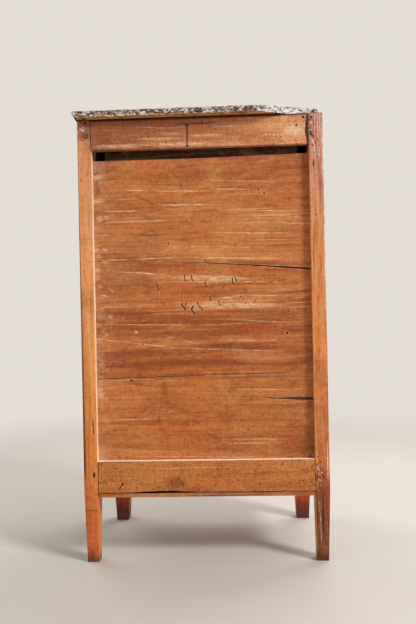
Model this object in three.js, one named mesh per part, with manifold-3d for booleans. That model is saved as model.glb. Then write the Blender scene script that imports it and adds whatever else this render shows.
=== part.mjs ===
// Small chest of four drawers with a marble top, on square tapered legs.
// Millimetres, +Z up. The drawers open towards -Y and the boarded back faces +Y.
// The origin is on the floor under the middle of the marble top.

import * as THREE from "three";
import { mergeVertices } from "three/addons/utils/BufferGeometryUtils.js";
import Module from "manifold-3d";

const wasm = await Module();
wasm.setup();

// Case, over the outer faces of the posts
const caseWidth = 500;
const caseDepth = 342;
const fit = 0.3; // clearance round tenons, tongues, tails and pins

// Posts: square above the taper, each running down into its own leg
const taperTop = 138;
const frontPostWidth = 46;
const frontPostDepth = 42;
const frontFootWidth = 32;
const frontFootDepth = 32;
const rearPostWidth = 28;
const rearPostDepth = 40;
const rearFootWidth = 23.3;
const rearFootDepth = 24;

// Rails between the posts
const railLift = 3; // from the top of the taper up to the rails
const topRailHeight = 61.6; // back and sides
const bottomRailHeight = 64.7; // back and sides
const backRailThickness = 22;
const sideRailThickness = 24;
const railShoulder = 12; // rail left above and below its tenon
const railTenonThickness = 8;
const backTenonLength = 18;
const mortiseWall = 4; // left between the side rails' mortises and the back rails

// Front rails and the dividers between the drawers
const frontTopRailHeight = 26;
const frontBottomRailRise = 26;
const dividerHeight = 20;
const frontTenonLength = 20;
const frontTenonThickness = 10;
const frontShoulder = 4;

// Openings for the drawers, from the top one down
const openingHeights = [147, 160, 169, 175];

// Side panels and the three shrunken boards of the back
const sidePanelThickness = 10;
const tongue = 7; // how far panels and boards enter their grooves
const backBoardThickness = 12;
const backBoardRecess = 13; // from the rear plane to the boards
const boardJoint = 0.4; // where two boards still meet
const openCrack = 3; // where the upper two have parted, at -X
const lowerBoardHeights = { left: 183.7, middle: 178.7, right: 175.1 };
const middleBoardHeights = { left: 206.8, middle: 231.6, right: 243.1 };
const upperBoardDrops = { left: 14.9, middle: 18.9, right: 18.2 }; // below the top rail
const splitHeight = 129; // of the split in the lower board, above its lower edge
const splitLength = 91.4;
const splitWidth = 2.6;

// Board under the case
const bottomBoardThickness = 8.8;
const bottomBoardGap = 0.6; // below the rails that it is nailed to
const bottomBoardSideInset = 3;
const bottomBoardNotch = 2; // clearance round the rear posts

// Runners with their guides, and the kickers over the top drawer
const runnerLap = 2; // how far a runner reaches in past the drawer side
const guideHeight = 20;
const kickerHeight = 20;

// Drawers
const frontGap = 1.5; // round each drawer front
const frontInset = 1; // drawer fronts behind the faces of the posts
const drawerFrontThickness = 20;
const frontLap = 6; // drawer front left in front of the tails
const drawerSideThickness = 11;
const drawerBackThickness = 10;
const drawerBottomThickness = 7;
const drawerBottomLift = 8;
const drawerTongue = 5;
const runningGap = 0.4; // under the drawer sides
const sideDrop = 4; // drawer sides below the top of the opening
const backDrop = 10; // drawer back below the top of the opening
const drawerRearSpace = 43; // from the drawer back to the rear plane
const tailPitch = 46;
const tailWidth = 20;
const tailFlare = 3;

// Drop-ring pulls
const plateRadius = 16;
const plateThickness = 1.6;
const bossRadius = 6.5;
const bossRise = 1.2;
const pullRise = 12; // of the plate above the middle of the drawer front
const ringRadius = 17; // to the middle of the ring's wire
const ringWire = 2.1;
const ringStandoff = 3.5; // from the plate to the middle of the wire
const eyeWall = 2;
const eyeLength = 6;
const eyeClearance = 0.7;

// Marble top
const slabThickness = 13.5;
const slabSide = 7.5;
const slabFront = 15;
const slabRear = 19;
const chipDepth = 2.4; // of the rough rear edge
const chipPitch = 22;
const edgeProfile = [
  { height: 0, inset: 3 },
  { height: 2.5, inset: 0.8 },
  { height: 5.5, inset: 0 },
  { height: slabThickness - 2.5, inset: 0 },
  { height: slabThickness, inset: 1.6 },
];
// The broken corner, measured in from the corner that it took off
const breakPoints = [
  { along: 130, back: 0 },
  { along: 106, back: 6.5 },
  { along: 76.5, back: 19 },
  { along: 46, back: 25 },
  { along: 16, back: 32 },
  { along: 6, back: 43 },
  { along: 0, back: 59 },
];

// Planes that the sizes above fix
const railBottom = taperTop + railLift;
const openingSum = openingHeights.reduce((sum, height) => sum + height, 0);
const dividerSum = (openingHeights.length - 1) * dividerHeight;
const caseTop = railBottom + frontBottomRailRise + openingSum + dividerSum + frontTopRailHeight;
const slabHalfWidth = caseWidth / 2 + slabSide;
const slabHalfDepth = (caseDepth + slabFront + slabRear) / 2;
const frontPlane = slabFront - slabHalfDepth;
const rearPlane = frontPlane + caseDepth;
const outerX = caseWidth / 2;
const frontInnerX = outerX - frontPostWidth;
const rearInnerX = outerX - rearPostWidth;
const sideInnerX = outerX - sideRailThickness;
const frontPostBack = frontPlane + frontPostDepth;
const rearPostFace = rearPlane - rearPostDepth;
const backRailFace = rearPlane - backRailThickness;
const topRailBottom = caseTop - topRailHeight;
const bottomRailTop = railBottom + bottomRailHeight;

// Finishes
const oldWood = { color: 0xb9763c, roughness: 0.72, metalness: 0 };
const paleWood = { color: 0xc08a52, roughness: 0.8, metalness: 0 };
const marble = { color: 0xcbb89a, roughness: 0.45, metalness: 0 };
const brass = { color: 0xa8823f, roughness: 0.35, metalness: 1 };

// Solids

function solid(geometry) {
  const bare = geometry.clone();
  bare.deleteAttribute("normal");
  bare.deleteAttribute("uv");
  const merged = mergeVertices(bare);
  return new wasm.Manifold(
    new wasm.Mesh({
      numProp: 3,
      vertProperties: merged.attributes.position.array,
      triVerts: new Uint32Array(merged.index.array),
    }),
  );
}

function geometryOf(shape) {
  const { vertProperties, triVerts } = shape.getMesh();
  const geometry = new THREE.BufferGeometry();
  geometry.setAttribute("position", new THREE.BufferAttribute(vertProperties, 3));
  geometry.setIndex(new THREE.BufferAttribute(triVerts, 1));
  const faceted = geometry.toNonIndexed();
  faceted.computeVertexNormals();
  return faceted;
}

function cut(shape, tools) {
  return tools.reduce((rest, tool) => rest.subtract(tool), shape);
}

function join(shape, others) {
  return others.reduce((whole, other) => whole.add(other), shape);
}

function span(x0, x1, y0, y1, z0, z1) {
  return new THREE.Box3(new THREE.Vector3(x0, y0, z0), new THREE.Vector3(x1, y1, z1));
}

function blockGeometry(box) {
  const size = box.getSize(new THREE.Vector3());
  const middle = box.getCenter(new THREE.Vector3());
  const geometry = new THREE.BoxGeometry(size.x, size.y, size.z);
  return geometry.translate(middle.x, middle.y, middle.z);
}

function block(box) {
  return solid(blockGeometry(box));
}

// The space that a tenon or a tongue needs
function socket(box) {
  return block(box.clone().expandByScalar(fit));
}

// A flat outline given in a plane of the part's frame, carried square to that plane
function prism(plane, outline, from, to) {
  const x = new THREE.Vector3(1, 0, 0);
  const y = new THREE.Vector3(0, 1, 0);
  const z = new THREE.Vector3(0, 0, 1);
  const bases = { xy: [x, y, z], xz: [x, z, y.clone().negate()], yz: [y, z, x] };
  const shape = new THREE.Shape(outline.map(([u, v]) => new THREE.Vector2(u, v)));
  const geometry = new THREE.ExtrudeGeometry(shape, { depth: to - from, bevelEnabled: false });
  geometry.applyMatrix4(new THREE.Matrix4().makeBasis(...bases[plane]));
  if (plane === "xy") {
    return geometry.translate(0, 0, from);
  }
  if (plane === "xz") {
    return geometry.translate(0, to, 0);
  }
  return geometry.translate(from, 0, 0);
}

// A solid through level outlines that have as many points each, from the lowest up
function loft(levels) {
  const count = levels[0].points.length;
  const positions = levels.flatMap(({ z, points }) => points.flatMap(([x, y]) => [x, y, z]));
  const indices = [];
  for (let level = 0; level + 1 < levels.length; level += 1) {
    for (let i = 0; i < count; i += 1) {
      const a = level * count + i;
      const b = level * count + ((i + 1) % count);
      indices.push(a, b, b + count, a, b + count, a + count);
    }
  }
  const capOf = ({ points }) =>
    THREE.ShapeUtils.triangulateShape(points.map(([x, y]) => new THREE.Vector2(x, y)), []);
  const top = (levels.length - 1) * count;
  capOf(levels[0]).forEach(([a, b, c]) => indices.push(c, b, a));
  capOf(levels[levels.length - 1]).forEach(([a, b, c]) => indices.push(top + a, top + b, top + c));
  const geometry = new THREE.BufferGeometry();
  geometry.setAttribute("position", new THREE.Float32BufferAttribute(positions, 3));
  geometry.setIndex(indices);
  const faceted = geometry.toNonIndexed();
  faceted.computeVertexNormals();
  return faceted;
}

function rectangle(x0, x1, y0, y1) {
  return [
    [x0, y0],
    [x1, y0],
    [x1, y1],
    [x0, y1],
  ];
}

// Scene graph

const chest = new THREE.Group();

function place(parent, name, geometry, finish) {
  const mesh = new THREE.Mesh(geometry, new THREE.MeshStandardMaterial(finish));
  mesh.name = name;
  parent.add(mesh);
  return mesh;
}

// A piece at +X and its mirror image at -X
function placePair(parent, name, geometry, finish) {
  place(parent, `${name}_right`, geometry, finish);
  place(parent, `${name}_left`, geometry, finish).scale.x = -1;
}

// Places of the drawer openings, from the top one down

function openingPlaces() {
  let top = caseTop - frontTopRailHeight;
  return openingHeights.map((height) => {
    const bottom = top - height;
    top = bottom - dividerHeight;
    return { bottom, height };
  });
}

const openings = openingPlaces();

// Rails: each has its body, and its tenons as boxes that the posts give way to

const sideTenonLength = rearPostDepth - backRailThickness - mortiseWall;
const sideMiddleX = outerX - sideRailThickness / 2;
const backMiddleY = rearPlane - backRailThickness / 2;
const frontMiddleY = frontPlane + frontPostDepth / 2;

function sideRail(z0, z1) {
  const half = railTenonThickness / 2;
  const tenonY = [frontPostBack - sideTenonLength, rearPostFace + sideTenonLength];
  return {
    body: span(sideInnerX, outerX, frontPostBack, rearPostFace, z0, z1),
    tenon: span(
      sideMiddleX - half,
      sideMiddleX + half,
      ...tenonY,
      z0 + railShoulder,
      z1 - railShoulder,
    ),
  };
}

function backRail(z0, z1) {
  const half = railTenonThickness / 2;
  const reach = rearInnerX + backTenonLength;
  const tenonZ = [z0 + railShoulder, z1 - railShoulder];
  return {
    body: span(-rearInnerX, rearInnerX, backRailFace, rearPlane, z0, z1),
    tenon: span(-reach, reach, backMiddleY - half, backMiddleY + half, ...tenonZ),
  };
}

function frontRail(z0, z1) {
  const half = frontTenonThickness / 2;
  const reach = frontInnerX + frontTenonLength;
  const tenonZ = [z0 + frontShoulder, z1 - frontShoulder];
  return {
    body: span(-frontInnerX, frontInnerX, frontPlane, frontPostBack, z0, z1),
    tenon: span(-reach, reach, frontMiddleY - half, frontMiddleY + half, ...tenonZ),
  };
}

const bottomBoardTop = railBottom - bottomBoardGap;
const bottomBoardBottom = bottomBoardTop - bottomBoardThickness;
const sideRails = [sideRail(topRailBottom, caseTop), sideRail(railBottom, bottomRailTop)];
const backRails = [backRail(topRailBottom, caseTop), backRail(railBottom, bottomRailTop)];
const frontTopRail = frontRail(caseTop - frontTopRailHeight, caseTop);
const frontBottomRail = frontRail(bottomBoardBottom, railBottom + frontBottomRailRise);
const dividers = openings
  .slice(0, -1)
  .map(({ bottom }) => frontRail(bottom - dividerHeight, bottom));

// Panels and the space of the back's boards, with their tongues

const sidePanel = span(
  sideMiddleX - sidePanelThickness / 2,
  sideMiddleX + sidePanelThickness / 2,
  frontPostBack - tongue,
  rearPostFace + tongue,
  bottomRailTop - tongue,
  topRailBottom + tongue,
);
const boardReach = rearInnerX + tongue;
const boardFoot = bottomRailTop - tongue;
const boardRear = rearPlane - backBoardRecess;
const boardFace = boardRear - backBoardThickness;
const backSpace = span(
  -boardReach,
  boardReach,
  boardFace,
  boardRear,
  boardFoot,
  topRailBottom + tongue,
);

// Posts

function frontPost() {
  const insetX = (frontPostWidth - frontFootWidth) / 2;
  const insetY = (frontPostDepth - frontFootDepth) / 2;
  const square = rectangle(frontInnerX, outerX, frontPlane, frontPostBack);
  const foot = rectangle(
    frontInnerX + insetX,
    outerX - insetX,
    frontPlane + insetY,
    frontPostBack - insetY,
  );
  const body = loft([
    { z: 0, points: foot },
    { z: taperTop, points: square },
    { z: caseTop, points: square },
  ]);
  const tenons = [...sideRails, frontTopRail, frontBottomRail, ...dividers];
  return cut(solid(body), [...tenons.map(({ tenon }) => socket(tenon)), socket(sidePanel)]);
}

// The rear legs taper on their outer and forward faces only.
function rearPost() {
  const square = rectangle(rearInnerX, outerX, rearPostFace, rearPlane);
  const foot = rectangle(
    rearInnerX,
    rearInnerX + rearFootWidth,
    rearPlane - rearFootDepth,
    rearPlane,
  );
  const body = loft([
    { z: 0, points: foot },
    { z: taperTop, points: square },
    { z: caseTop, points: square },
  ]);
  const tenons = [...sideRails, ...backRails].map(({ tenon }) => socket(tenon));
  return cut(solid(body), [...tenons, socket(sidePanel), socket(backSpace)]);
}

placePair(chest, "post_front", geometryOf(frontPost()), oldWood);
placePair(chest, "post_rear", geometryOf(rearPost()), oldWood);

// Rails, dividers and side panels

function railShape({ body, tenon }, grooves) {
  return geometryOf(cut(join(block(body), [block(tenon)]), grooves));
}

["top", "bottom"].forEach((level, i) => {
  placePair(chest, `rail_side_${level}`, railShape(sideRails[i], [socket(sidePanel)]), oldWood);
  place(chest, `rail_back_${level}`, railShape(backRails[i], [socket(backSpace)]), oldWood);
});
placePair(chest, "panel_side", blockGeometry(sidePanel), oldWood);
place(chest, "rail_front_top", railShape(frontTopRail, []), oldWood);
place(chest, "rail_front_bottom", railShape(frontBottomRail, []), oldWood);
dividers.forEach((divider, i) => {
  place(chest, `divider_${i + 1}`, railShape(divider, []), oldWood);
});

// The three boards of the back, as outlines seen across X and Z

const lowerTop = {
  left: boardFoot + lowerBoardHeights.left,
  middle: boardFoot + lowerBoardHeights.middle,
  right: boardFoot + lowerBoardHeights.right,
};
const middleTop = {
  left: lowerTop.left + boardJoint + middleBoardHeights.left,
  middle: lowerTop.middle + boardJoint + middleBoardHeights.middle,
  right: lowerTop.right + boardJoint + middleBoardHeights.right,
};
const splitZ = boardFoot + splitHeight;
const lowerBoard = [
  [-boardReach, boardFoot],
  [boardReach, boardFoot],
  [boardReach, lowerTop.right],
  [0, lowerTop.middle],
  [-boardReach, lowerTop.left],
  [-boardReach, splitZ + splitWidth / 2],
  [-boardReach + splitLength, splitZ + splitWidth],
  [-boardReach, splitZ - splitWidth / 2],
];
const middleBoard = [
  [-boardReach, lowerTop.left + boardJoint],
  [0, lowerTop.middle + boardJoint],
  [boardReach, lowerTop.right + boardJoint],
  [boardReach, middleTop.right],
  [0, middleTop.middle],
  [-boardReach, middleTop.left],
];
const upperBoard = [
  [-boardReach, middleTop.left + openCrack],
  [0, middleTop.middle + boardJoint],
  [boardReach, middleTop.right + boardJoint],
  [boardReach, topRailBottom - upperBoardDrops.right],
  [0, topRailBottom - upperBoardDrops.middle],
  [-boardReach, topRailBottom - upperBoardDrops.left],
];
place(chest, "board_back_lower", prism("xz", lowerBoard, boardFace, boardRear), oldWood);
place(chest, "board_back_middle", prism("xz", middleBoard, boardFace, boardRear), oldWood);
place(chest, "board_back_upper", prism("xz", upperBoard, boardFace, boardRear), oldWood);

// Board under the case, notched round the rear posts

const bottomHalf = outerX - bottomBoardSideInset;
const notchX = rearInnerX - bottomBoardNotch;
const notchY = rearPostFace - bottomBoardNotch;
const bottomFront = frontPostBack + fit;
const bottomBoard = [
  [-bottomHalf, bottomFront],
  [bottomHalf, bottomFront],
  [bottomHalf, notchY],
  [notchX, notchY],
  [notchX, rearPlane],
  [-notchX, rearPlane],
  [-notchX, notchY],
  [-bottomHalf, notchY],
];
const bottomGeometry = prism("xy", bottomBoard, bottomBoardBottom, bottomBoardTop);
place(chest, "board_bottom", bottomGeometry, oldWood);

// Runners with guides, and kickers

const drawerHalf = frontInnerX - frontGap;
const drawerInnerX = drawerHalf - drawerSideThickness;
const treadX = drawerInnerX - runnerLap;

function runner(bottom) {
  const tread = bottom - dividerHeight;
  const outline = [
    [treadX, tread],
    [sideInnerX, tread],
    [sideInnerX, bottom + guideHeight],
    [frontInnerX, bottom + guideHeight],
    [frontInnerX, bottom],
    [treadX, bottom],
  ];
  return prism("xz", outline, frontPostBack, rearPostFace);
}

openings.forEach(({ bottom }, i) => {
  placePair(chest, `runner_${i + 1}`, runner(bottom), paleWood);
});
const openingTop = openings[0].bottom + openings[0].height;
const kicker = span(
  treadX,
  frontInnerX,
  frontPostBack,
  backRailFace,
  openingTop,
  openingTop + kickerHeight,
);
placePair(chest, "kicker", blockGeometry(kicker), paleWood);

// Marble top: moulded at the front and sides, rough-hewn behind, one rear corner broken off

function chip(index, level) {
  return chipDepth * Math.abs(Math.sin(1.9 * index + 0.7 * level));
}

function slabOutline(inset, level) {
  const breakStart = slabHalfWidth - breakPoints[0].along;
  const chips = Math.round((slabHalfWidth + breakStart) / chipPitch);
  const rear = Array.from({ length: chips }, (_, i) => {
    const x = slabHalfWidth - (i * (slabHalfWidth + breakStart)) / chips;
    return [i === 0 ? x - inset : x, slabHalfDepth - chip(i, level)];
  });
  const broken = breakPoints.map(({ along, back }, i) => {
    const bite = along > 0 ? chip(i + chips, level) : 0;
    return [-slabHalfWidth + Math.max(along, inset), slabHalfDepth - back - bite];
  });
  return [
    [-slabHalfWidth + inset, -slabHalfDepth + inset],
    [slabHalfWidth - inset, -slabHalfDepth + inset],
    ...rear,
    ...broken,
  ];
}

const slab = loft(
  edgeProfile.map(({ height, inset }, level) => ({
    z: caseTop + height,
    points: slabOutline(inset, level),
  })),
);
place(chest, "marble_top", slab, marble);

// Drawers, each built over the foot of its own opening

const drawerFace = frontPlane + frontInset;
const drawerShoulder = drawerFace + drawerFrontThickness;
const drawerRear = rearPlane - drawerRearSpace;
const drawerBackFace = drawerRear - drawerBackThickness;

// Dovetails in the drawer's sides from y0 to y1, wide at y1, or the sockets for them
function dovetails(y0, y1, z0, z1, room) {
  const count = Math.max(2, Math.round((z1 - z0) / tailPitch));
  const pitch = (z1 - z0) / count;
  const out = Math.sign(y1 - y0) * room;
  return Array.from({ length: count }, (_, i) => {
    const middle = z0 + (i + 0.5) * pitch;
    const narrow = tailWidth / 2 + room;
    const wide = narrow + tailFlare;
    const outline = [
      [y0 - out, middle - narrow],
      [y1 + out, middle - wide],
      [y1 + out, middle + wide],
      [y0 - out, middle + narrow],
    ];
    return solid(prism("yz", outline, drawerInnerX - room, drawerHalf + room));
  });
}

// The same solids at -X, by turning their geometry about the Z axis in a mirror
function mirrored(shape) {
  const geometry = geometryOf(shape);
  const position = geometry.getAttribute("position");
  for (let i = 0; i < position.count; i += 3) {
    const corners = [0, 2, 1].map((k) => [
      -position.getX(i + k),
      position.getY(i + k),
      position.getZ(i + k),
    ]);
    corners.forEach(([x, y, z], k) => position.setXYZ(i + k, x, y, z));
  }
  return solid(geometry);
}

function addDrawer(index, { bottom, height }) {
  const drawer = new THREE.Group();
  drawer.position.z = bottom;
  chest.add(drawer);
  const name = `drawer_${index}`;

  const sideTop = height - sideDrop;
  const backTop = height - backDrop;
  const boardZ = runningGap + drawerBottomLift;
  const boardReachX = drawerInnerX + drawerTongue;
  const board = span(
    -boardReachX,
    boardReachX,
    drawerShoulder - drawerTongue,
    drawerRear,
    boardZ,
    boardZ + drawerBottomThickness,
  );
  const backBottom = board.max.z + fit;
  const tailEnd = drawerFace + frontLap;
  const frontTails = (room) => dovetails(drawerShoulder, tailEnd, runningGap, sideTop, room);
  const backTails = (room) => dovetails(drawerBackFace, drawerRear, backBottom, backTop, room);
  const bothSides = (shapes) => shapes.flatMap((shape) => [shape, mirrored(shape)]);

  const front = span(
    -drawerHalf,
    drawerHalf,
    drawerFace,
    drawerShoulder,
    frontGap,
    height - frontGap,
  );
  const back = span(-drawerHalf, drawerHalf, drawerBackFace, drawerRear, backBottom, backTop);
  const sideX = [drawerInnerX, drawerHalf];
  const sideBody = span(...sideX, drawerShoulder, drawerBackFace, runningGap, sideTop);
  const sideToe = span(...sideX, drawerBackFace, drawerRear, runningGap, board.max.z);
  const sideBrow = span(...sideX, drawerBackFace, drawerRear, backTop + fit, sideTop);
  const sideParts = [block(sideToe), block(sideBrow), ...frontTails(0), ...backTails(0)];
  const side = cut(join(block(sideBody), sideParts), [socket(board)]);

  const frontCuts = [socket(board), ...bothSides(frontTails(fit))];
  place(drawer, `${name}_front`, geometryOf(cut(block(front), frontCuts)), oldWood);
  placePair(drawer, `${name}_side`, geometryOf(side), paleWood);
  const backShape = cut(block(back), bothSides(backTails(fit)));
  place(drawer, `${name}_back`, geometryOf(backShape), paleWood);
  place(drawer, `${name}_bottom`, blockGeometry(board), paleWood);
  addPull(drawer, index, height / 2 + pullRise);
}

// Drop-ring pull: a round plate with an eye, and a ring that hangs in the eye

function pullPlate() {
  const profile = [
    [0, 0],
    [plateRadius, 0],
    [plateRadius, plateThickness - 0.6],
    [plateRadius - 1.2, plateThickness],
    [bossRadius, plateThickness],
    [bossRadius - 1, plateThickness + bossRise],
    [0, plateThickness + bossRise],
  ].map(([radius, out]) => new THREE.Vector2(radius, out));
  const plate = new THREE.LatheGeometry(profile, 24).rotateX(Math.PI);
  const bore = ringWire + eyeClearance;
  const eyeY = -plateThickness - ringStandoff;
  const eye = new THREE.CylinderGeometry(bore + eyeWall, bore + eyeWall, eyeLength, 20);
  const hole = new THREE.CylinderGeometry(bore, bore, eyeLength + 2 * eyeWall, 20);
  const turned = (geometry) => solid(geometry.rotateZ(Math.PI / 2).translate(0, eyeY, 0));
  return cut(join(solid(plate), [turned(eye)]), [turned(hole)]);
}

const plateGeometry = geometryOf(pullPlate());
const ringGeometry = new THREE.TorusGeometry(ringRadius, ringWire, 8, 28)
  .rotateX(Math.PI / 2)
  .translate(0, 0, -ringRadius);

function addPull(drawer, index, height) {
  const plate = place(drawer, `pull_${index}_plate`, plateGeometry, brass);
  plate.position.set(0, drawerFace, height);
  const ring = place(drawer, `pull_${index}_ring`, ringGeometry, brass);
  ring.position.set(0, drawerFace - plateThickness - ringStandoff, height);
}

openings.forEach((opening, i) => addDrawer(i + 1, opening));

export default chest;
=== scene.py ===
"""A small marble-topped chest of four drawers, seen from its boarded back.

Metres, +Z up. The back faces +Y, towards the camera, and the drawers open towards -Y.
"""

import logging
import math
from collections.abc import Callable, Sequence
from dataclasses import dataclass, field, replace
from enum import Enum
from functools import reduce

import bmesh
import bpy
from mathutils import Matrix, Vector, noise


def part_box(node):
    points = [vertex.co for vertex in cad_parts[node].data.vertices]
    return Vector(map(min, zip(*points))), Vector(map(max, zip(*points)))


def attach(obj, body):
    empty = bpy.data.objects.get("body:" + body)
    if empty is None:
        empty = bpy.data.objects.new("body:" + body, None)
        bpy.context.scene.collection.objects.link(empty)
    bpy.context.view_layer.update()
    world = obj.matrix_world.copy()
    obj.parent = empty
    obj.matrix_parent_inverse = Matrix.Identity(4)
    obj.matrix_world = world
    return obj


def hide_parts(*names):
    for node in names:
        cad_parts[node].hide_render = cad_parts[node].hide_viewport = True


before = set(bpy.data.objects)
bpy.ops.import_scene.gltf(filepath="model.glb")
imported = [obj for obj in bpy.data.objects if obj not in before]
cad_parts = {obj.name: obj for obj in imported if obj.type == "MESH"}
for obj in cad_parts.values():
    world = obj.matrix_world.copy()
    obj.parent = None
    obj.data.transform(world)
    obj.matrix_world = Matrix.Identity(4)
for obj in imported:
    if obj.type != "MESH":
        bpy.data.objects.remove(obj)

log = logging.getLogger("chest")

MM = 0.001
Rgba = tuple[float, float, float, float]
Stops = tuple[tuple[float, Rgba], ...]
Span = tuple[float, float]
Corner = Sequence[float]
Shape = bmesh.types.BMesh

# How squarely a face looks along an axis before a finish counts it in.
FACING: Span = (0.55, 0.8)
# Corners closer than this are one, and faces that meet flatter than this many degrees.
MERGE = 2e-6
FLAT = 0.5
# Noise vectors start from this seed, because without one they start from the clock.
NOISE_SEED = 7
# The length of X and of Z that a colour ramp covers, from end to end.
WASH_WIDTH = 0.5
WASH_HEIGHT = 0.92


def tint(red: float, green: float, blue: float) -> Rgba:
    """Turns a colour of 0 to 255 a channel into the linear values that shaders use.

    Args:
        red: The red channel.
        green: The green channel.
        blue: The blue channel.

    Returns:
        The linear colour, with an alpha of 1.
    """

    def linear(channel: float) -> float:
        """One channel, from the screen's curve to linear."""
        share = channel / 255
        return share / 12.92 if share <= 0.04045 else ((share + 0.055) / 1.055) ** 2.4

    return (linear(red), linear(green), linear(blue), 1.0)


class Term:
    """A shader socket that takes part in arithmetic, adding Math nodes as it goes."""

    def __init__(self, graph: "Graph", socket: bpy.types.NodeSocket) -> None:
        """Wraps one output socket of a graph."""
        self.graph = graph
        self.socket = socket

    def _math(self, operation: str, first: "Term | float", *rest: "Term | float") -> "Term":
        """Adds a Math node over the given values, in their order."""
        inputs = dict(enumerate((first, *rest)))
        return self.graph.node("Math", 0, inputs, operation=operation)

    def __add__(self, other: "Term | float") -> "Term":
        """The sum."""
        return self._math("ADD", self, other)

    __radd__ = __add__

    def __mul__(self, other: "Term | float") -> "Term":
        """The product."""
        return self._math("MULTIPLY", self, other)

    __rmul__ = __mul__

    def __sub__(self, other: "Term | float") -> "Term":
        """The difference."""
        return self._math("SUBTRACT", self, other)

    def __rsub__(self, other: "Term | float") -> "Term":
        """The difference, with this term taken away."""
        return self._math("SUBTRACT", other, self)

    def __truediv__(self, other: "Term | float") -> "Term":
        """The quotient."""
        return self._math("DIVIDE", self, other)

    def __abs__(self) -> "Term":
        """The size without its sign."""
        return self._math("ABSOLUTE", self)

    def highest(self, other: "Term | float") -> "Term":
        """The larger of two values."""
        return self._math("MAXIMUM", self, other)

    def lowest(self, other: "Term | float") -> "Term":
        """The smaller of two values."""
        return self._math("MINIMUM", self, other)

    def over(self, low: float, high: float) -> "Term":
        """A soft mask: 0 below low, 1 above high, also where high is the smaller number."""
        inputs = {"Value": self, "From Min": low, "From Max": high}
        return self.graph.node("MapRange", 0, inputs, interpolation_type="SMOOTHSTEP")


@dataclass(frozen=True)
class Mark:
    """A tapered stroke on a face that looks along Y, in millimetres and degrees."""

    x: float
    z: float
    length: float
    width: float
    tilt: float = 0.0


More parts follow.
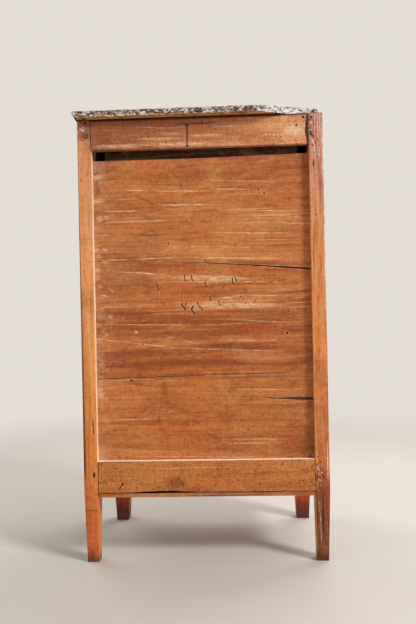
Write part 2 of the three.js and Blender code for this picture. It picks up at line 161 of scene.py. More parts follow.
class Graph:
    """The shader tree of one material or world, built from calls."""

    def __init__(self, owner: bpy.types.Material | bpy.types.World) -> None:
        """Empties the owner's tree, ready for nodes.

        Args:
            owner: The material or world that gets the nodes.
        """
        owner.use_nodes = True
        self.owner = owner
        self.tree = owner.node_tree
        self.tree.nodes.clear()

    def node(
        self,
        kind: str,
        output: int | str,
        inputs: dict[int | str, object] | None = None,
        **settings: object,
    ) -> Term:
        """Adds one node.

        Args:
            kind: The node's type, without its ShaderNode prefix.
            output: The output socket to return.
            inputs: Values or terms by the name or number of their input socket.
            **settings: The node's own settings. stops fills a ramp.

        Returns:
            The chosen output as a term.
        """
        made = self.tree.nodes.new("ShaderNode" + kind)
        for name, value in settings.items():
            if name == "stops":
                self._fill(made.color_ramp, value)
            else:
                setattr(made, name, value)
        for name, value in (inputs or {}).items():
            if isinstance(value, Term):
                self.tree.links.new(value.socket, made.inputs[name])
            else:
                made.inputs[name].default_value = value
        return Term(self, made.outputs[output])

    @staticmethod
    def _fill(ramp: bpy.types.ColorRamp, stops: Stops) -> None:
        """Gives a colour ramp its stops.

        Args:
            ramp: The ramp.
            stops: Places from 0 to 1, and their colours.
        """
        while len(ramp.elements) < len(stops):
            ramp.elements.new(1.0)
        for element, (position, colour) in zip(ramp.elements, stops):
            element.position = position
            element.color = colour

    def place(self) -> Term:
        """The point's place on the chest, in metres."""
        return self.node("TexCoord", "Object")

    def normal(self) -> tuple[Term, Term, Term]:
        """The three terms of the surface's direction."""
        return self.axes(self.node("NewGeometry", "Normal"))

    def axes(self, vector: Term) -> tuple[Term, Term, Term]:
        """Splits a vector into its three terms."""
        split = self.node("SeparateXYZ", 0, {0: vector}).socket.node
        return tuple(Term(self, socket) for socket in split.outputs)

    def vector(self, x: Term | float, y: Term | float, z: Term | float) -> Term:
        """Joins three terms into a vector."""
        return self.node("CombineXYZ", 0, {0: x, 1: y, 2: z})

    def moved(self, vector: Term, step: Term) -> Term:
        """Adds a vector to a vector."""
        return self.node("VectorMath", 0, {0: vector, 1: step}, operation="ADD")

    def noise(
        self,
        vector: Term,
        cells: float | tuple[float, float, float],
        detail: float = 2.0,
        roughness: float = 0.5,
    ) -> Term:
        """Smooth noise round 0.5.

        Args:
            vector: The place where it is read.
            cells: Cells to a metre, for all axes or for each.
            detail: How many finer layers it has.
            roughness: How strong the finer layers are.

        Returns:
            The noise.
        """
        each = cells if isinstance(cells, tuple) else (cells, cells, cells)
        scaled = self.node("VectorMath", 0, {0: vector, 1: each}, operation="MULTIPLY")
        inputs = {"Vector": scaled, "Scale": 1.0, "Detail": detail, "Roughness": roughness}
        return self.node("TexNoise", 0, inputs)

    def mix(self, under: Term | Rgba, over: Term | Rgba, amount: Term | float) -> Term:
        """Lays one colour over another by an amount."""
        inputs = {0: amount, 6: under, 7: over}
        return self.node("Mix", 2, inputs, data_type="RGBA", blend_type="MIX")

    def stained(self, under: Term | Rgba, over: Term | Rgba, amount: Term | float) -> Term:
        """Multiplies one colour by another by an amount."""
        inputs = {0: amount, 6: under, 7: over}
        return self.node("Mix", 2, inputs, data_type="RGBA", blend_type="MULTIPLY")

    def ramp(self, value: Term, stops: Stops) -> Term:
        """Reads a colour off a ramp."""
        return self.node("ValToRGB", 0, {0: value}, stops=stops)

    def strokes(self, place: Term, marks: Sequence[Mark], spread: float = 1.0) -> Term:
        """A mask of strokes.

        Args:
            place: The point's place, in metres.
            marks: The strokes, at least one.
            spread: How many times as large as written each stroke is laid.

        Returns:
            A term that rises to 1 in the middle of each stroke.
        """
        spots = []
        for mark in marks:
            inputs = {
                "Vector": place,
                "Location": (mark.x * MM, 0.0, mark.z * MM),
                "Rotation": (0.0, -math.radians(mark.tilt), 0.0),
                "Scale": (mark.length * spread * MM, 10.0, mark.width * spread * MM),
            }
            near = self.node("Mapping", 0, inputs, vector_type="TEXTURE")
            spots.append(self.node("TexGradient", "Fac", {0: near}, gradient_type="SPHERICAL"))
        return reduce(Term.highest, spots)

    def bumped(self, height: Term, distance: float, strength: float) -> Term:
        """A normal from a height, with the depth of one unit of height in metres."""
        inputs = {"Strength": strength, "Distance": distance, "Height": height}
        return self.node("Bump", 0, inputs)

    def principled(self, values: dict[str, object]) -> Term:
        """The main shader, fed by the names of its sockets."""
        return self.node("BsdfPrincipled", 0, values)

    def end(self, shader: Term) -> bpy.types.Material | bpy.types.World:
        """Leads a shader to the surface output and returns the tree's owner.

        Args:
            shader: The finished shader.

        Returns:
            The material or world that owns the nodes.
        """
        kind = "World" if isinstance(self.owner, bpy.types.World) else "Material"
        output = self.tree.nodes.new(f"ShaderNodeOutput{kind}")
        self.tree.links.new(shader.socket, output.inputs["Surface"])
        return self.owner


@dataclass(frozen=True)
class WoodTints:
    """The colours that grain, age and use lay over the ground colour of wood."""

    ribs: Rgba = tint(172, 142, 118)
    streak: Rgba = tint(160, 104, 72)
    pore: Rgba = tint(150, 104, 74)
    blotch: Rgba = tint(172, 128, 98)
    honey: Rgba = tint(196, 138, 78)
    rose: Rgba = tint(255, 208, 190)
    mottle: Rgba = tint(166, 122, 92)
    dust: Rgba = tint(226, 196, 164)
    scuff: Rgba = tint(226, 196, 160)
    shade: Rgba = tint(116, 56, 27)
    light: Rgba = tint(232, 160, 96)
    knot: Rgba = tint(86, 42, 22)
    nick: Rgba = tint(76, 34, 16)
    hollow: Rgba = tint(36, 14, 7)
    bore: Rgba = tint(50, 24, 14)
    bare_grain: Rgba = tint(206, 158, 116)
    coat_pore: Rgba = tint(132, 84, 60)
    coat_cloud: Rgba = tint(150, 104, 78)
    rubbed: Rgba = tint(170, 112, 70)
    rear_shade: Rgba = tint(74, 42, 24)
    dirt: Rgba = tint(70, 42, 26)


@dataclass(frozen=True)
class WoodPlaces:
    """Where on the chest a finish of its wood starts and is full, in metres."""

    side_faces: Span = (0.215, 0.222)
    front_faces: Span = (0.155, 0.16)
    post_corner: Span = (0.2484, 0.2496)
    corner_narrows: Span = (0.78, 0.35)
    over_the_foot: Span = (0.14, 0.2)
    post_margin: Span = (0.2425, 0.2435)
    behind_the_front: Span = (0.1, 0.05)
    low_inside: Span = (0.2, 0.13)
    rear_ledges: Span = (0.135, 0.15)
    drawer_rear: Span = (0.118, 0.124)
    dust_reach: Span = (0.17, 0.236)
    dust_end: Span = (0.15, 0.22)
    haze_end: Span = (0.192, 0.24)
    haze_height: Span = (0.262, 0.2)
    corner_slant: float = 0.003


class Grain(Enum):
    """The way that a piece's grain runs."""

    LEVEL = "x"
    UPRIGHT = "z"
    DEEP = "y"


class Wash(Enum):
    """The way along which a piece's colour changes."""

    ALONG_X = 0
    UP_Z = 2


@dataclass(frozen=True)
class OldWood:
    """Old planed wood: raw where it faces in or back, varnished on the show faces."""

    name: str
    grain: Grain
    tones: Stops
    wash: Wash = Wash.UP_Z
    seed: float = 0.0
    bands: float = 0.5
    band: Rgba = tint(156, 92, 56)
    streaks: float = 0.4
    comb: float = 0.3
    scrapes: float = 0.3
    worm: float = 0.0
    dust: float = 0.0
    bare_inside: float = 0.0
    roughness: float = 0.62
    pale_marks: tuple[Mark, ...] = ()
    dark_marks: tuple[Mark, ...] = ()
    grey_marks: tuple[Mark, ...] = ()
    shades: tuple[Mark, ...] = ()
    lights: tuple[Mark, ...] = ()
    pale: Rgba = tint(230, 178, 122)
    inside: Rgba = tint(238, 190, 128)
    ledge: Rgba = tint(176, 132, 96)
    inside_low: Rgba = tint(236, 132, 62)
    chalk: Rgba = tint(232, 190, 146)
    soil: float = 0.014
    rear_shade: float = 0.0
    torn: float = 0.0
    knots: tuple[Mark, ...] = ()
    varnish: Stops = (
        (0.0, tint(60, 25, 14)),
        (0.35, tint(97, 45, 23)),
        (0.65, tint(124, 62, 33)),
        (1.0, tint(154, 88, 49)),
    )
    tints: WoodTints = WoodTints()
    places: WoodPlaces = WoodPlaces()

    def material(self) -> bpy.types.Material:
        """Builds the finish as a material.

        Returns:
            The finished material.
        """
        g = Graph(bpy.data.materials.new(self.name))
        place = g.place()
        x, y, z = g.axes(place)
        runs = {Grain.LEVEL: (x, z, y), Grain.UPRIGHT: (z, x, y), Grain.DEEP: (y, x, z)}
        along, across, deep = runs[self.grain]
        loose = g.vector(along, across, deep + self.seed)
        fibres = self._fibres(g, loose)
        bands = g.noise(fibres, (1.5, 20.0, 20.0), 4.0, 0.52)
        streaks = g.noise(fibres, (5.5, 120.0, 120.0), 6.0, 0.74)
        fine = g.noise(fibres, (34.0, 520.0, 520.0), 3.0, 0.7)
        comb = g.noise(loose, (360.0, 60.0, 60.0), 3.0, 0.65)

        colour = self._ground(g, x, z)
        colour = self._figured(g, colour, bands, streaks, fine)
        patchy = g.noise(loose, (12.0, 26.0, 26.0), 2.0).over(0.36, 0.62)
        ribs = comb.over(0.62, 0.36) * (0.35 + patchy * 0.65) * self.comb
        colour = g.stained(colour, self.tints.ribs, ribs)
        colour = self._weathered(g, colour, place, fibres)
        height = fine * 0.14 + streaks * 0.36 + bands * 0.3 + comb * (self.comb * 0.35)
        colour, height = self._marked(g, colour, height, place, fibres)
        colour, height = self._bored(g, colour, height, place)
        figure = bands * 0.4 + streaks * 0.4 + fine * 0.2
        colour, show = self._varnished(g, colour, place, figure, fine)
        colour = self._handled(g, colour, place)
        rough = self.roughness + (streaks - 0.5) * 0.3 - show * 0.26
        shader = g.principled(
            {
                "Base Color": colour,
                "Roughness": rough.highest(0.2),
                "Normal": g.bumped(height * (1.0 - show * 0.65), 0.001, 0.8),
                "Coat Weight": show * 0.24,
                "Coat Roughness": 0.28,
                "Specular IOR Level": 0.3,
            }
        )
        return g.end(shader)

    def _fibres(self, g: Graph, loose: Term) -> Term:
        """Bends the place across the grain, so that the figure flows.

        Args:
            g: The graph.
            loose: The place along and across the grain.

        Returns:
            The place, bent.
        """
        slow = g.noise(loose, (2.3, 5.0, 5.0), 2.0) - 0.5
        quick = g.noise(loose, (8.0, 18.0, 18.0), 2.0) - 0.5
        bend = slow * 0.034 + quick * 0.007
        return g.moved(loose, g.vector(0.0, bend, bend))

    def _ground(self, g: Graph, x: Term, z: Term) -> Term:
        """The plain colour before any grain, which drifts along the piece.

        Args:
            g: The graph.
            x: Place across the chest.
            z: Height on the chest.

        Returns:
            The ground colour.
        """
        if self.wash is Wash.ALONG_X:
            return g.ramp(x / WASH_WIDTH + 0.5, self.tones)
        return g.ramp(z / WASH_HEIGHT, self.tones)

    def _figured(self, g: Graph, colour: Term, bands: Term, streaks: Term, fine: Term) -> Term:
        """Broad bands, thin streaks and pores.

        Args:
            g: The graph.
            colour: The ground colour.
            bands: The broad bands, round 0.5.
            streaks: The thin streaks, round 0.5.
            fine: The finest grain, round 0.5.

        Returns:
            The colour with its figure.
        """
        colour = g.stained(colour, self.band, bands.over(0.54, 0.34) * self.bands)
        thin = streaks.over(0.54, 0.34) * self.streaks
        colour = g.stained(colour, self.tints.streak, thin)
        light = bands.over(0.52, 0.68) * streaks.over(0.38, 0.6)
        colour = g.mix(colour, self.pale, light * (self.bands * 0.55))
        colour = g.stained(colour, self.tints.pore, fine.over(0.56, 0.72) * 0.5)
        return g.mix(colour, self.pale, fine.over(0.42, 0.26) * 0.3)

    def _weathered(self, g: Graph, colour: Term, place: Term, fibres: Term) -> Term:
        """Blotches, dried-out patches and thin scraped lines.

        Args:
            g: The graph.
            colour: The colour so far.
            place: The point's place.
            fibres: The place along the bent grain.

        Returns:
            The weathered colour.
        """
        blotch = g.noise(place, (9.0, 9.0, 12.0), 4.0, 0.6)
        colour = g.stained(colour, self.tints.blotch, blotch.over(0.52, 0.74) * 0.5)
        hue = g.noise(place, (14.0, 14.0, 20.0), 6.0, 0.7)
        colour = g.mix(colour, self.tints.honey, hue.over(0.5, 0.66) * 0.38)
        colour = g.stained(colour, self.tints.rose, hue.over(0.48, 0.34) * 0.5)
        mottle = g.noise(place, (130.0, 130.0, 170.0), 4.0, 0.8)
        colour = g.stained(colour, self.tints.mottle, mottle.over(0.5, 0.66) * 0.42)
        colour = g.mix(colour, self.pale, mottle.over(0.46, 0.3) * 0.2)
        dry = g.noise(fibres, (2.4, 44.0, 44.0), 4.0, 0.6).over(0.56, 0.72)
        colour = g.mix(colour, self.pale, dry * 0.16)
        groups = g.noise(fibres, (2.0, 9.0, 9.0), 2.0).over(0.5, 0.64)
        lines = g.noise(fibres, (4.2, 260.0, 260.0), 2.0, 0.6).over(0.58, 0.7)
        colour = g.mix(colour, self.pale, lines * groups * self.scrapes)
        if self.dust > 0.0:
            at = self.places
            x, _, z = g.axes(place)
            cloud = g.noise(place, (60.0, 60.0, 80.0), 6.0, 0.75)
            patches = g.noise(place, (9.0, 9.0, 7.0), 2.0).over(0.4, 0.66)
            reach = x.over(*at.dust_reach) * (0.08 + patches * 0.16)
            scuff = (cloud + reach).over(0.5, 0.78) * x.over(*at.dust_end)
            haze = x.over(*at.haze_end) * z.over(*at.haze_height)
            colour = g.mix(colour, self.tints.dust, (scuff * self.dust).highest(haze * 0.75))
        return colour

    def _marked(
        self, g: Graph, colour: Term, height: Term, place: Term, fibres: Term
    ) -> tuple[Term, Term]:
        """Single strokes that the photograph shows.

        Args:
            g: The graph.
            colour: The colour so far.
            height: The height so far.
            place: The point's place.
            fibres: The place along the bent grain.

        Returns:
            The colour and the height with the strokes.
        """
        wobble = g.noise(fibres, 14.0, 3.0, 0.6) - 0.5
        shaken = g.moved(place, g.vector(0.0, 0.0, wobble * 0.0035))
        ragged = g.noise(fibres, (70.0, 420.0, 420.0), 4.0, 0.85).over(0.4, 0.6)
        if self.pale_marks:
            mask = (g.strokes(shaken, self.pale_marks) * 2.2).lowest(1.0)
            mask = mask * (0.1 + ragged * 0.9)
            colour = g.mix(colour, self.chalk, mask * 0.85)
            height = height - mask * 0.2
        if self.grey_marks:
            mask = (g.strokes(shaken, self.grey_marks) * 1.6).lowest(1.0) * ragged
            colour = g.mix(colour, self.tints.scuff, mask * 0.72)
        if self.shades:
            mask = (g.strokes(shaken, self.shades) * 1.5).lowest(1.0)
            colour = g.mix(colour, self.tints.shade, mask * 0.55)
        if self.lights:
            mask = g.strokes(shaken, self.lights) * (0.4 + ragged * 0.6)
            colour = g.mix(colour, self.tints.light, mask * 0.5)
        if self.knots:
            mask = (g.strokes(place, self.knots) * 1.8).lowest(1.0)
            gnarl = g.noise(fibres, (150.0, 260.0, 150.0), 4.0, 0.75)
            colour = g.mix(colour, self.tints.knot, mask * gnarl.over(0.47, 0.57) * 0.8)
            colour = g.mix(colour, self.pale, mask * gnarl.over(0.47, 0.38) * 0.7)
            height = height - mask * gnarl * 2.2
        if self.dark_marks:
            near = g.strokes(place, self.dark_marks, 1.8)
            # A pale rim round the dark marks: torn fibres and a painted highlight.
            rim = near.over(0.0, 0.2) * near.over(0.42, 0.3) * self.torn
            colour = g.mix(colour, self.chalk, rim * ragged)
            mask = near.over(0.3, 0.48)
            colour = g.mix(colour, self.tints.nick, mask * 0.92)
            # The darker core is dirt and painted shade deep in the hollow.
            colour = g.mix(colour, self.tints.hollow, near.over(0.5, 0.7) * 0.92)
            height = height - mask * 0.6
        return colour, height

    def _bored(self, g: Graph, colour: Term, height: Term, place: Term) -> tuple[Term, Term]:
        """Round flight holes of woodworm, in clusters.

        Args:
            g: The graph.
            colour: The colour so far.
            height: The height so far.
            place: The point's place.

        Returns:
            The colour and the height with the holes.
        """
        if self.worm == 0.0:
            return colour, height
        cluster = g.noise(place, (11.0, 11.0, 16.0), 3.0, 0.6).over(0.38, 0.62) * 0.3
        holes = []
        for scale, rarity in ((160.0, 1.3), (270.0, 1.42)):
            cells = {"Vector": place, "Scale": scale, "Randomness": 1.0}
            near = g.node("TexVoronoi", "Distance", cells, feature="F1")
            chance, width, _ = g.axes(g.node("TexVoronoi", "Color", cells, feature="F1"))
            limit = rarity - self.worm
            chosen = (chance + cluster).over(limit, limit + 0.04)
            holes.append((width * 0.11 + 0.11 - near).over(-0.03, 0.03) * chosen)
        mask = reduce(Term.highest, holes)
        return g.mix(colour, self.tints.bore, mask * 0.9), height - mask * 1.6

    def _varnished(
        self, g: Graph, colour: Term, place: Term, figure: Term, pores: Term
    ) -> tuple[Term, Term]:
        """Lays varnish on the faces that look out at the sides and forwards.

        Args:
            g: The graph.
            colour: The raw wood's colour.
            place: The point's place.
            figure: The grain's figure, round 0.5.
            pores: The finest grain, round 0.5.

        Returns:
            The colour, and the mask of the varnish.
        """
        x, y, z = g.axes(place)
        nx, ny, _ = g.normal()
        side = g.node("Math", 0, {0: x}, operation="SIGN")
        at = self.places
        outward = abs(x).over(*at.side_faces) * (nx * side).over(*FACING)
        forward = (0.0 - y).over(*at.front_faces) * (0.0 - ny).over(*FACING)
        leaning = x + z.over(*at.corner_narrows) * at.corner_slant
        lip = leaning.over(*at.post_corner) * z.over(*at.over_the_foot) * 0.85
        turned_out = ny.over(0.6, 0.3).highest(y.over(*at.behind_the_front))
        margin = abs(x).over(*at.post_margin) * turned_out
        show = outward.highest(forward).highest(lip).highest(margin)
        if self.bare_inside > 0.0:
            inside = (0.0 - nx * side).over(0.5, 0.85) * self.bare_inside
            bare = g.mix(self.inside, self.inside_low, z.over(*at.low_inside))
            bare = g.stained(bare, self.tints.bare_grain, figure.over(0.53, 0.4) * 0.6)
            colour = g.mix(colour, bare, inside)
        coat = g.ramp(figure.over(0.38, 0.6), self.varnish)
        coat = g.stained(coat, self.tints.coat_pore, pores.over(0.54, 0.68) * 0.6)
        clouds = g.noise(place, 8.0, 5.0, 0.65)
        coat = g.stained(coat, self.tints.coat_cloud, clouds.over(0.48, 0.66) * 0.45)
        rubbed = g.noise(place, 30.0, 6.0, 0.75).over(0.58, 0.7)
        coat = g.mix(coat, self.tints.rubbed, rubbed * 0.22)
        return g.mix(colour, coat, show), show

    def _handled(self, g: Graph, colour: Term, place: Term) -> Term:
        """Rubbed edges, the ledge colour on the rear ledges (dust with a painted highlight, or
        painted shade, as each finish sets it), painted shade on the drawers' rear faces, and floor
        dirt on the feet.

        Args:
            g: The graph.
            colour: The colour so far.
            place: The point's place.

        Returns:
            The colour after long use.
        """
        _, y, z = g.axes(place)
        _, ny, nz = g.normal()
        # Painted shade on the faces that look back near the drawers' rear, seen through the gap.
        if self.rear_shade > 0.0:
            rear = y.over(*self.places.drawer_rear) * ny.over(0.5, 0.8) * self.rear_shade
            colour = g.mix(colour, self.tints.rear_shade, rear)
        worn = g.node("Attribute", "Fac", attribute_name="wear", attribute_type="GEOMETRY")
        rub = g.noise(place, 60.0, 3.0, 0.65)
        colour = g.mix(colour, self.pale, worn * rub.over(0.42, 0.62) * 0.36)
        # Faces that look up near the rear take the ledge colour, which each finish sets as dust and
        # painted highlight or as painted shade.
        ledge = nz.over(0.3, 0.7) * y.over(*self.places.rear_ledges) * rub.over(0.1, 0.4)
        colour = g.mix(colour, self.ledge, ledge * 0.95)
        ragged = g.noise(place, (110.0, 110.0, 60.0), 5.0, 0.75) - 0.5
        dirt = (z + ragged * 0.05).over(self.soil + 0.014, self.soil - 0.012)
        return g.mix(colour, self.tints.dirt, dirt * 0.8)


@dataclass(frozen=True)
class Breccia:
    """Mottled brown and grey marble: polished above, hewn or broken elsewhere."""

    name: str = "breccia_marble"
    polish: Stops = (
        (0.3, tint(88, 70, 58)),
        (0.42, tint(138, 114, 96)),
        (0.52, tint(172, 152, 134)),
        (0.6, tint(150, 108, 80)),
        (0.72, tint(202, 190, 176)),
    )
    crust: Stops = (
        (0.38, tint(36, 25, 19)),
        (0.45, tint(104, 70, 50)),
        (0.5, tint(132, 110, 96)),
        (0.55, tint(176, 164, 156)),
        (0.63, tint(226, 219, 214)),
    )
    seam: Rgba = tint(206, 196, 184)
    vein: Rgba = tint(226, 220, 210)
    polish_grit: Rgba = tint(120, 104, 92)
    crust_grit: Rgba = tint(96, 66, 44)
    cool_end: Rgba = tint(196, 196, 202)
    stain: Rgba = tint(160, 98, 42)
    fresh: Rgba = tint(224, 217, 216)
    fresh_shade: Rgba = tint(150, 138, 138)
    speck: Rgba = tint(58, 46, 44)
    strip: Rgba = tint(170, 108, 54)
    strip_shade: Rgba = tint(112, 68, 36)
    strip_gold: Rgba = tint(222, 156, 78)
    # Painted contact shadow colour under the slab's rear edge.
    strip_contact_shadow: Rgba = tint(24, 14, 10)
    rear_edge: Span = (0.181, 0.1835)
    corner_from: Span = (0.122, 0.126)
    corner_line: Span = (0.211, 0.216)
    corner_slope: float = 0.35
    gold_line: Span = (0.1835, 0.18)
    contact_shadow_line: Span = (0.1765, 0.172)
    slab_end: Span = (0.2475, 0.2545)
    stain_line: Span = (0.9092, 0.9066)
    speckled: Span = (-0.195, -0.225)
    fresh_from: Span = (-0.122, -0.14)

    def material(self) -> bpy.types.Material:
        """Builds the finish as a material.

        Returns:
            The finished material.
        """
        g = Graph(bpy.data.materials.new(self.name))
        place = g.place()
        x, y, z = g.axes(place)
        nx, ny, nz = g.normal()
        swirl = g.noise(place, 9.0, 4.0, 0.6) - 0.5
        bent = g.vector(x + swirl * 0.05, y - swirl * 0.06, z + swirl * 0.02)
        clouds = g.noise(bent, (15.0, 15.0, 26.0), 5.0, 0.62)
        grit = g.noise(place, 420.0, 3.0, 0.7)
        colour = self._polished(g, place, bent, clouds, grit)

        shaken = g.noise(place, 170.0, 3.0) - 0.5
        near = g.vector(x * 0.75 + shaken * 0.005, y * 0.75, z + shaken * 0.005)
        cells = {"Vector": near, "Scale": 300.0}
        chips = g.axes(g.node("TexVoronoi", "Color", cells, feature="F1"))[0]
        cracks = g.node("TexVoronoi", "Distance", cells, feature="DISTANCE_TO_EDGE")
        lumps = g.noise(place, (62.0, 62.0, 100.0), 4.0, 0.6)
        soft = g.noise(near, (170.0, 170.0, 230.0), 5.0, 0.7)
        crystals = lumps * 0.37 + soft * 0.42 + chips * 0.22
        crystals = crystals + cracks.over(0.0, 0.16) * 0.07 - 0.046
        rough = self._rough_mask(g, x, y, nz)
        colour = g.mix(colour, self._broken(g, x, z, crystals, grit), rough)
        under = (0.0 - nz).over(0.35, 0.7)
        stain = g.noise(place, 60.0, 4.0, 0.65)
        tan = g.mix(self.strip, self.strip_shade, stain.over(0.42, 0.66))
        tan = g.mix(tan, self.strip_gold, y.over(*self.gold_line) * stain.over(0.66, 0.5))
        # Painted contact shadow along the underside where it meets the rail.
        tan = g.mix(tan, self.strip_contact_shadow, y.over(*self.contact_shadow_line))
        colour = g.mix(colour, tan, under * 0.95)

        height = crystals * rough * 1.4 + grit * rough * 0.5 + clouds * 0.05
        gloss = 0.46 + clouds * 0.14 + rough * 0.5 + under * 0.4
        shader = g.principled(
            {
                "Base Color": colour,
                "Roughness": gloss.lowest(0.95),
                "Normal": g.bumped(height, 0.0018, 0.9),
                "Specular IOR Level": 0.2,
            }
        )
        return g.end(shader)

    def _polished(self, g: Graph, place: Term, bent: Term, clouds: Term, grit: Term) -> Term:
        """Clouds, pale seams between the fragments, and dark grit.

        Args:
            g: The graph.
            place: The point's place.
            bent: The place, swirled.
            clouds: The broad clouds, round 0.5.
            grit: The fine grit, round 0.5.

        Returns:
            The colour of the polished faces.
        """
        torn = g.noise(place, 38.0, 4.0, 0.7) - 0.5
        ragged = g.moved(bent, g.vector(torn * 0.03, torn * -0.024, 0.0))
        cells = {"Vector": ragged, "Scale": 30.0, "Randomness": 1.0}
        shard = g.axes(g.node("TexVoronoi", "Color", cells, feature="F1"))[0]
        colour = g.ramp(clouds * 0.62 + shard * 0.3 + 0.05, self.polish)
        seams = g.node("TexVoronoi", "Distance", cells, feature="DISTANCE_TO_EDGE")
        patchy = g.noise(place, 20.0, 3.0).over(0.42, 0.66)
        colour = g.mix(colour, self.seam, seams.over(0.07, 0.0) * patchy * 0.45)
        vein = abs(g.noise(ragged, (7.0, 11.0, 9.0), 3.0, 0.55) - 0.5)
        colour = g.mix(colour, self.vein, vein.over(0.012, 0.002) * patchy * 0.8)
        return g.stained(colour, self.polish_grit, grit.over(0.52, 0.7) * 0.5)

    def _broken(self, g: Graph, x: Term, z: Term, crystals: Term, grit: Term) -> Term:
        """Dirty crystals of the hewn edge, and the pale fresh break at the -X end.

        Args:
            g: The graph.
            x: Place across the chest.
            z: Height on the chest.
            crystals: The crystals, round 0.5.
            grit: The fine grit, round 0.5.

        Returns:
            The colour of the rough faces.
        """
        dirty = g.ramp(crystals, self.crust)
        dirty = g.mix(dirty, self.crust_grit, grit.over(0.5, 0.66) * 0.55)
        dirty = g.mix(dirty, self.cool_end, x.over(*self.slab_end) * 0.7)
        stained = (z + crystals * 0.004).over(*self.stain_line)
        dirty = g.mix(dirty, self.stain, stained * 0.8)
        clean = g.mix(self.fresh, self.fresh_shade, crystals.over(0.54, 0.42))
        specks = x.over(*self.speckled) * grit.over(0.48, 0.54) * 0.8
        clean = g.mix(clean, self.speck, crystals.over(0.43, 0.4) * 0.6 + specks)
        return g.mix(dirty, clean, x.over(*self.fresh_from) * 0.9)

    def _rough_mask(self, g: Graph, x: Term, y: Term, nz: Term) -> Term:
        """1 on the hewn rear edge and on the broken corner.

        Args:
            g: The graph.
            x: Place across the chest.
            y: Place from front to rear.
            nz: How far the face looks up.

        Returns:
            1 where the stone is rough, 0 elsewhere.
        """
        upright = abs(nz).over(0.8, 0.6)
        rear = y.over(*self.rear_edge)
        corner = (y - x * self.corner_slope).over(*self.corner_line) * y.over(*self.corner_from)
        return upright * rear.highest(corner)


@dataclass(frozen=True)
class AgedBrass:
    """Old brass, bright where fingers rub it and brown in its hollows."""

    name: str = "aged_brass"
    metal: Stops = ((0.34, tint(88, 64, 38)), (0.5, tint(146, 112, 64)), (0.66, tint(184, 150, 92)))
    tarnish: Rgba = tint(70, 52, 34)

    def material(self) -> bpy.types.Material:
        """Builds the finish as a material.

        Returns:
            The finished material.
        """
        g = Graph(bpy.data.materials.new(self.name))
        place = g.place()
        cloud = g.noise(place, 130.0, 4.0, 0.6)
        speck = g.noise(place, 900.0, 2.0)
        colour = g.mix(g.ramp(cloud, self.metal), self.tarnish, speck.over(0.6, 0.72) * 0.5)
        shader = g.principled(
            {
                "Base Color": colour,
                "Metallic": 1.0,
                "Roughness": 0.3 + (1.0 - cloud.over(0.35, 0.6)) * 0.28,
                "Normal": g.bumped(speck, 0.0002, 0.5),
            }
        )
        return g.end(shader)


@dataclass(frozen=True)
class RustedIron:
    """Dark iron of nail heads, with rust blooms."""

    name: str = "rusted_iron"
    iron: Rgba = tint(158, 132, 118)
    rust: Rgba = tint(104, 66, 46)

    def material(self) -> bpy.types.Material:
        """Builds the finish as a material.

        Returns:
            The finished material.
        """
        g = Graph(bpy.data.materials.new(self.name))
        bloom = g.noise(g.place(), 700.0, 4.0, 0.7)
        shader = g.principled(
            {
                "Base Color": g.mix(self.iron, self.rust, bloom.over(0.45, 0.65)),
                "Metallic": 0.55,
                "Roughness": 0.55 + bloom * 0.35,
                "Normal": g.bumped(bloom, 0.0004, 0.8),
            }
        )
        return g.end(shader)


@dataclass(frozen=True)
class PaleFloor:
    """A pale floor that fades into the background all round."""

    background: Rgba
    light: Rgba = tint(198, 191, 181)
    dark: Rgba = tint(190, 182, 172)
    dimmed: Rgba = tint(216, 216, 216)
    dims: Span = (0.6, 2.0)
    fades: Span = (0.8, 3.0)

    def material(self) -> bpy.types.Material:
        """Builds the finish as a material.

        Returns:
            The finished material.
        """
        g = Graph(bpy.data.materials.new("pale_floor"))
        place = g.place()
        x, y, _ = g.axes(place)
        cloud = g.noise(place, 3.0, 3.0)
        colour = g.mix(self.light, self.dark, cloud)
        distance = g.node("Math", 0, {0: x * x + y * y}, operation="SQRT")
        # Painted shade: the floor darkens with distance from the chest.
        colour = g.stained(colour, self.dimmed, distance.over(*self.dims))
        floor = g.principled({"Base Color": colour, "Roughness": 0.85})
        glow = g.node("Emission", 0, {"Color": self.background})
        inputs = {0: distance.over(*self.fades), 1: floor, 2: glow}
        return g.end(g.node("MixShader", 0, inputs))


def piece(name: str, mesh: Shape, finish: bpy.types.Material) -> bpy.types.Object:
    """Turns a bmesh into an object of the scene.

    Args:
        name: The new object's name.
        mesh: Its shape, which is freed.
        finish: Its material.

    Returns:
        The object, at the origin.
    """
    data = bpy.data.meshes.new(name)
    mesh.to_mesh(data)
    mesh.free()
    data.materials.append(finish)
    made = bpy.data.objects.new(name, data)
    bpy.context.scene.collection.objects.link(made)
    return made


def node_shape(node: str) -> Shape:
    """A merged copy of a frame node's mesh, with its flat faces whole.

    Args:
        node: The frame node's name.

    Returns:
        The mesh, for more bmesh work.
    """
    mesh = bmesh.new()
    mesh.from_mesh(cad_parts[node].data)
    bmesh.ops.remove_doubles(mesh, verts=mesh.verts, dist=MERGE)
    limit = math.radians(FLAT)
    bmesh.ops.dissolve_limit(mesh, angle_limit=limit, verts=mesh.verts, edges=mesh.edges)
    return mesh


def sliced(mesh: Shape, axis: int, step: float) -> None:
    """Cuts a mesh across an axis, every step, and keeps both sides.

    Args:
        mesh: The mesh to cut.
        axis: 0, 1 or 2 for X, Y or Z.
        step: Metres from cut to cut.
    """
    low = min(vertex.co[axis] for vertex in mesh.verts)
    high = max(vertex.co[axis] for vertex in mesh.verts)
    across = Vector((0.0, 0.0, 0.0))
    across[axis] = 1.0
    for index in range(1, math.ceil((high - low) / step)):
        whole = [*mesh.verts, *mesh.edges, *mesh.faces]
        point = across * (low + index * step)
        bmesh.ops.bisect_plane(mesh, geom=whole, dist=1e-7, plane_co=point, plane_no=across)


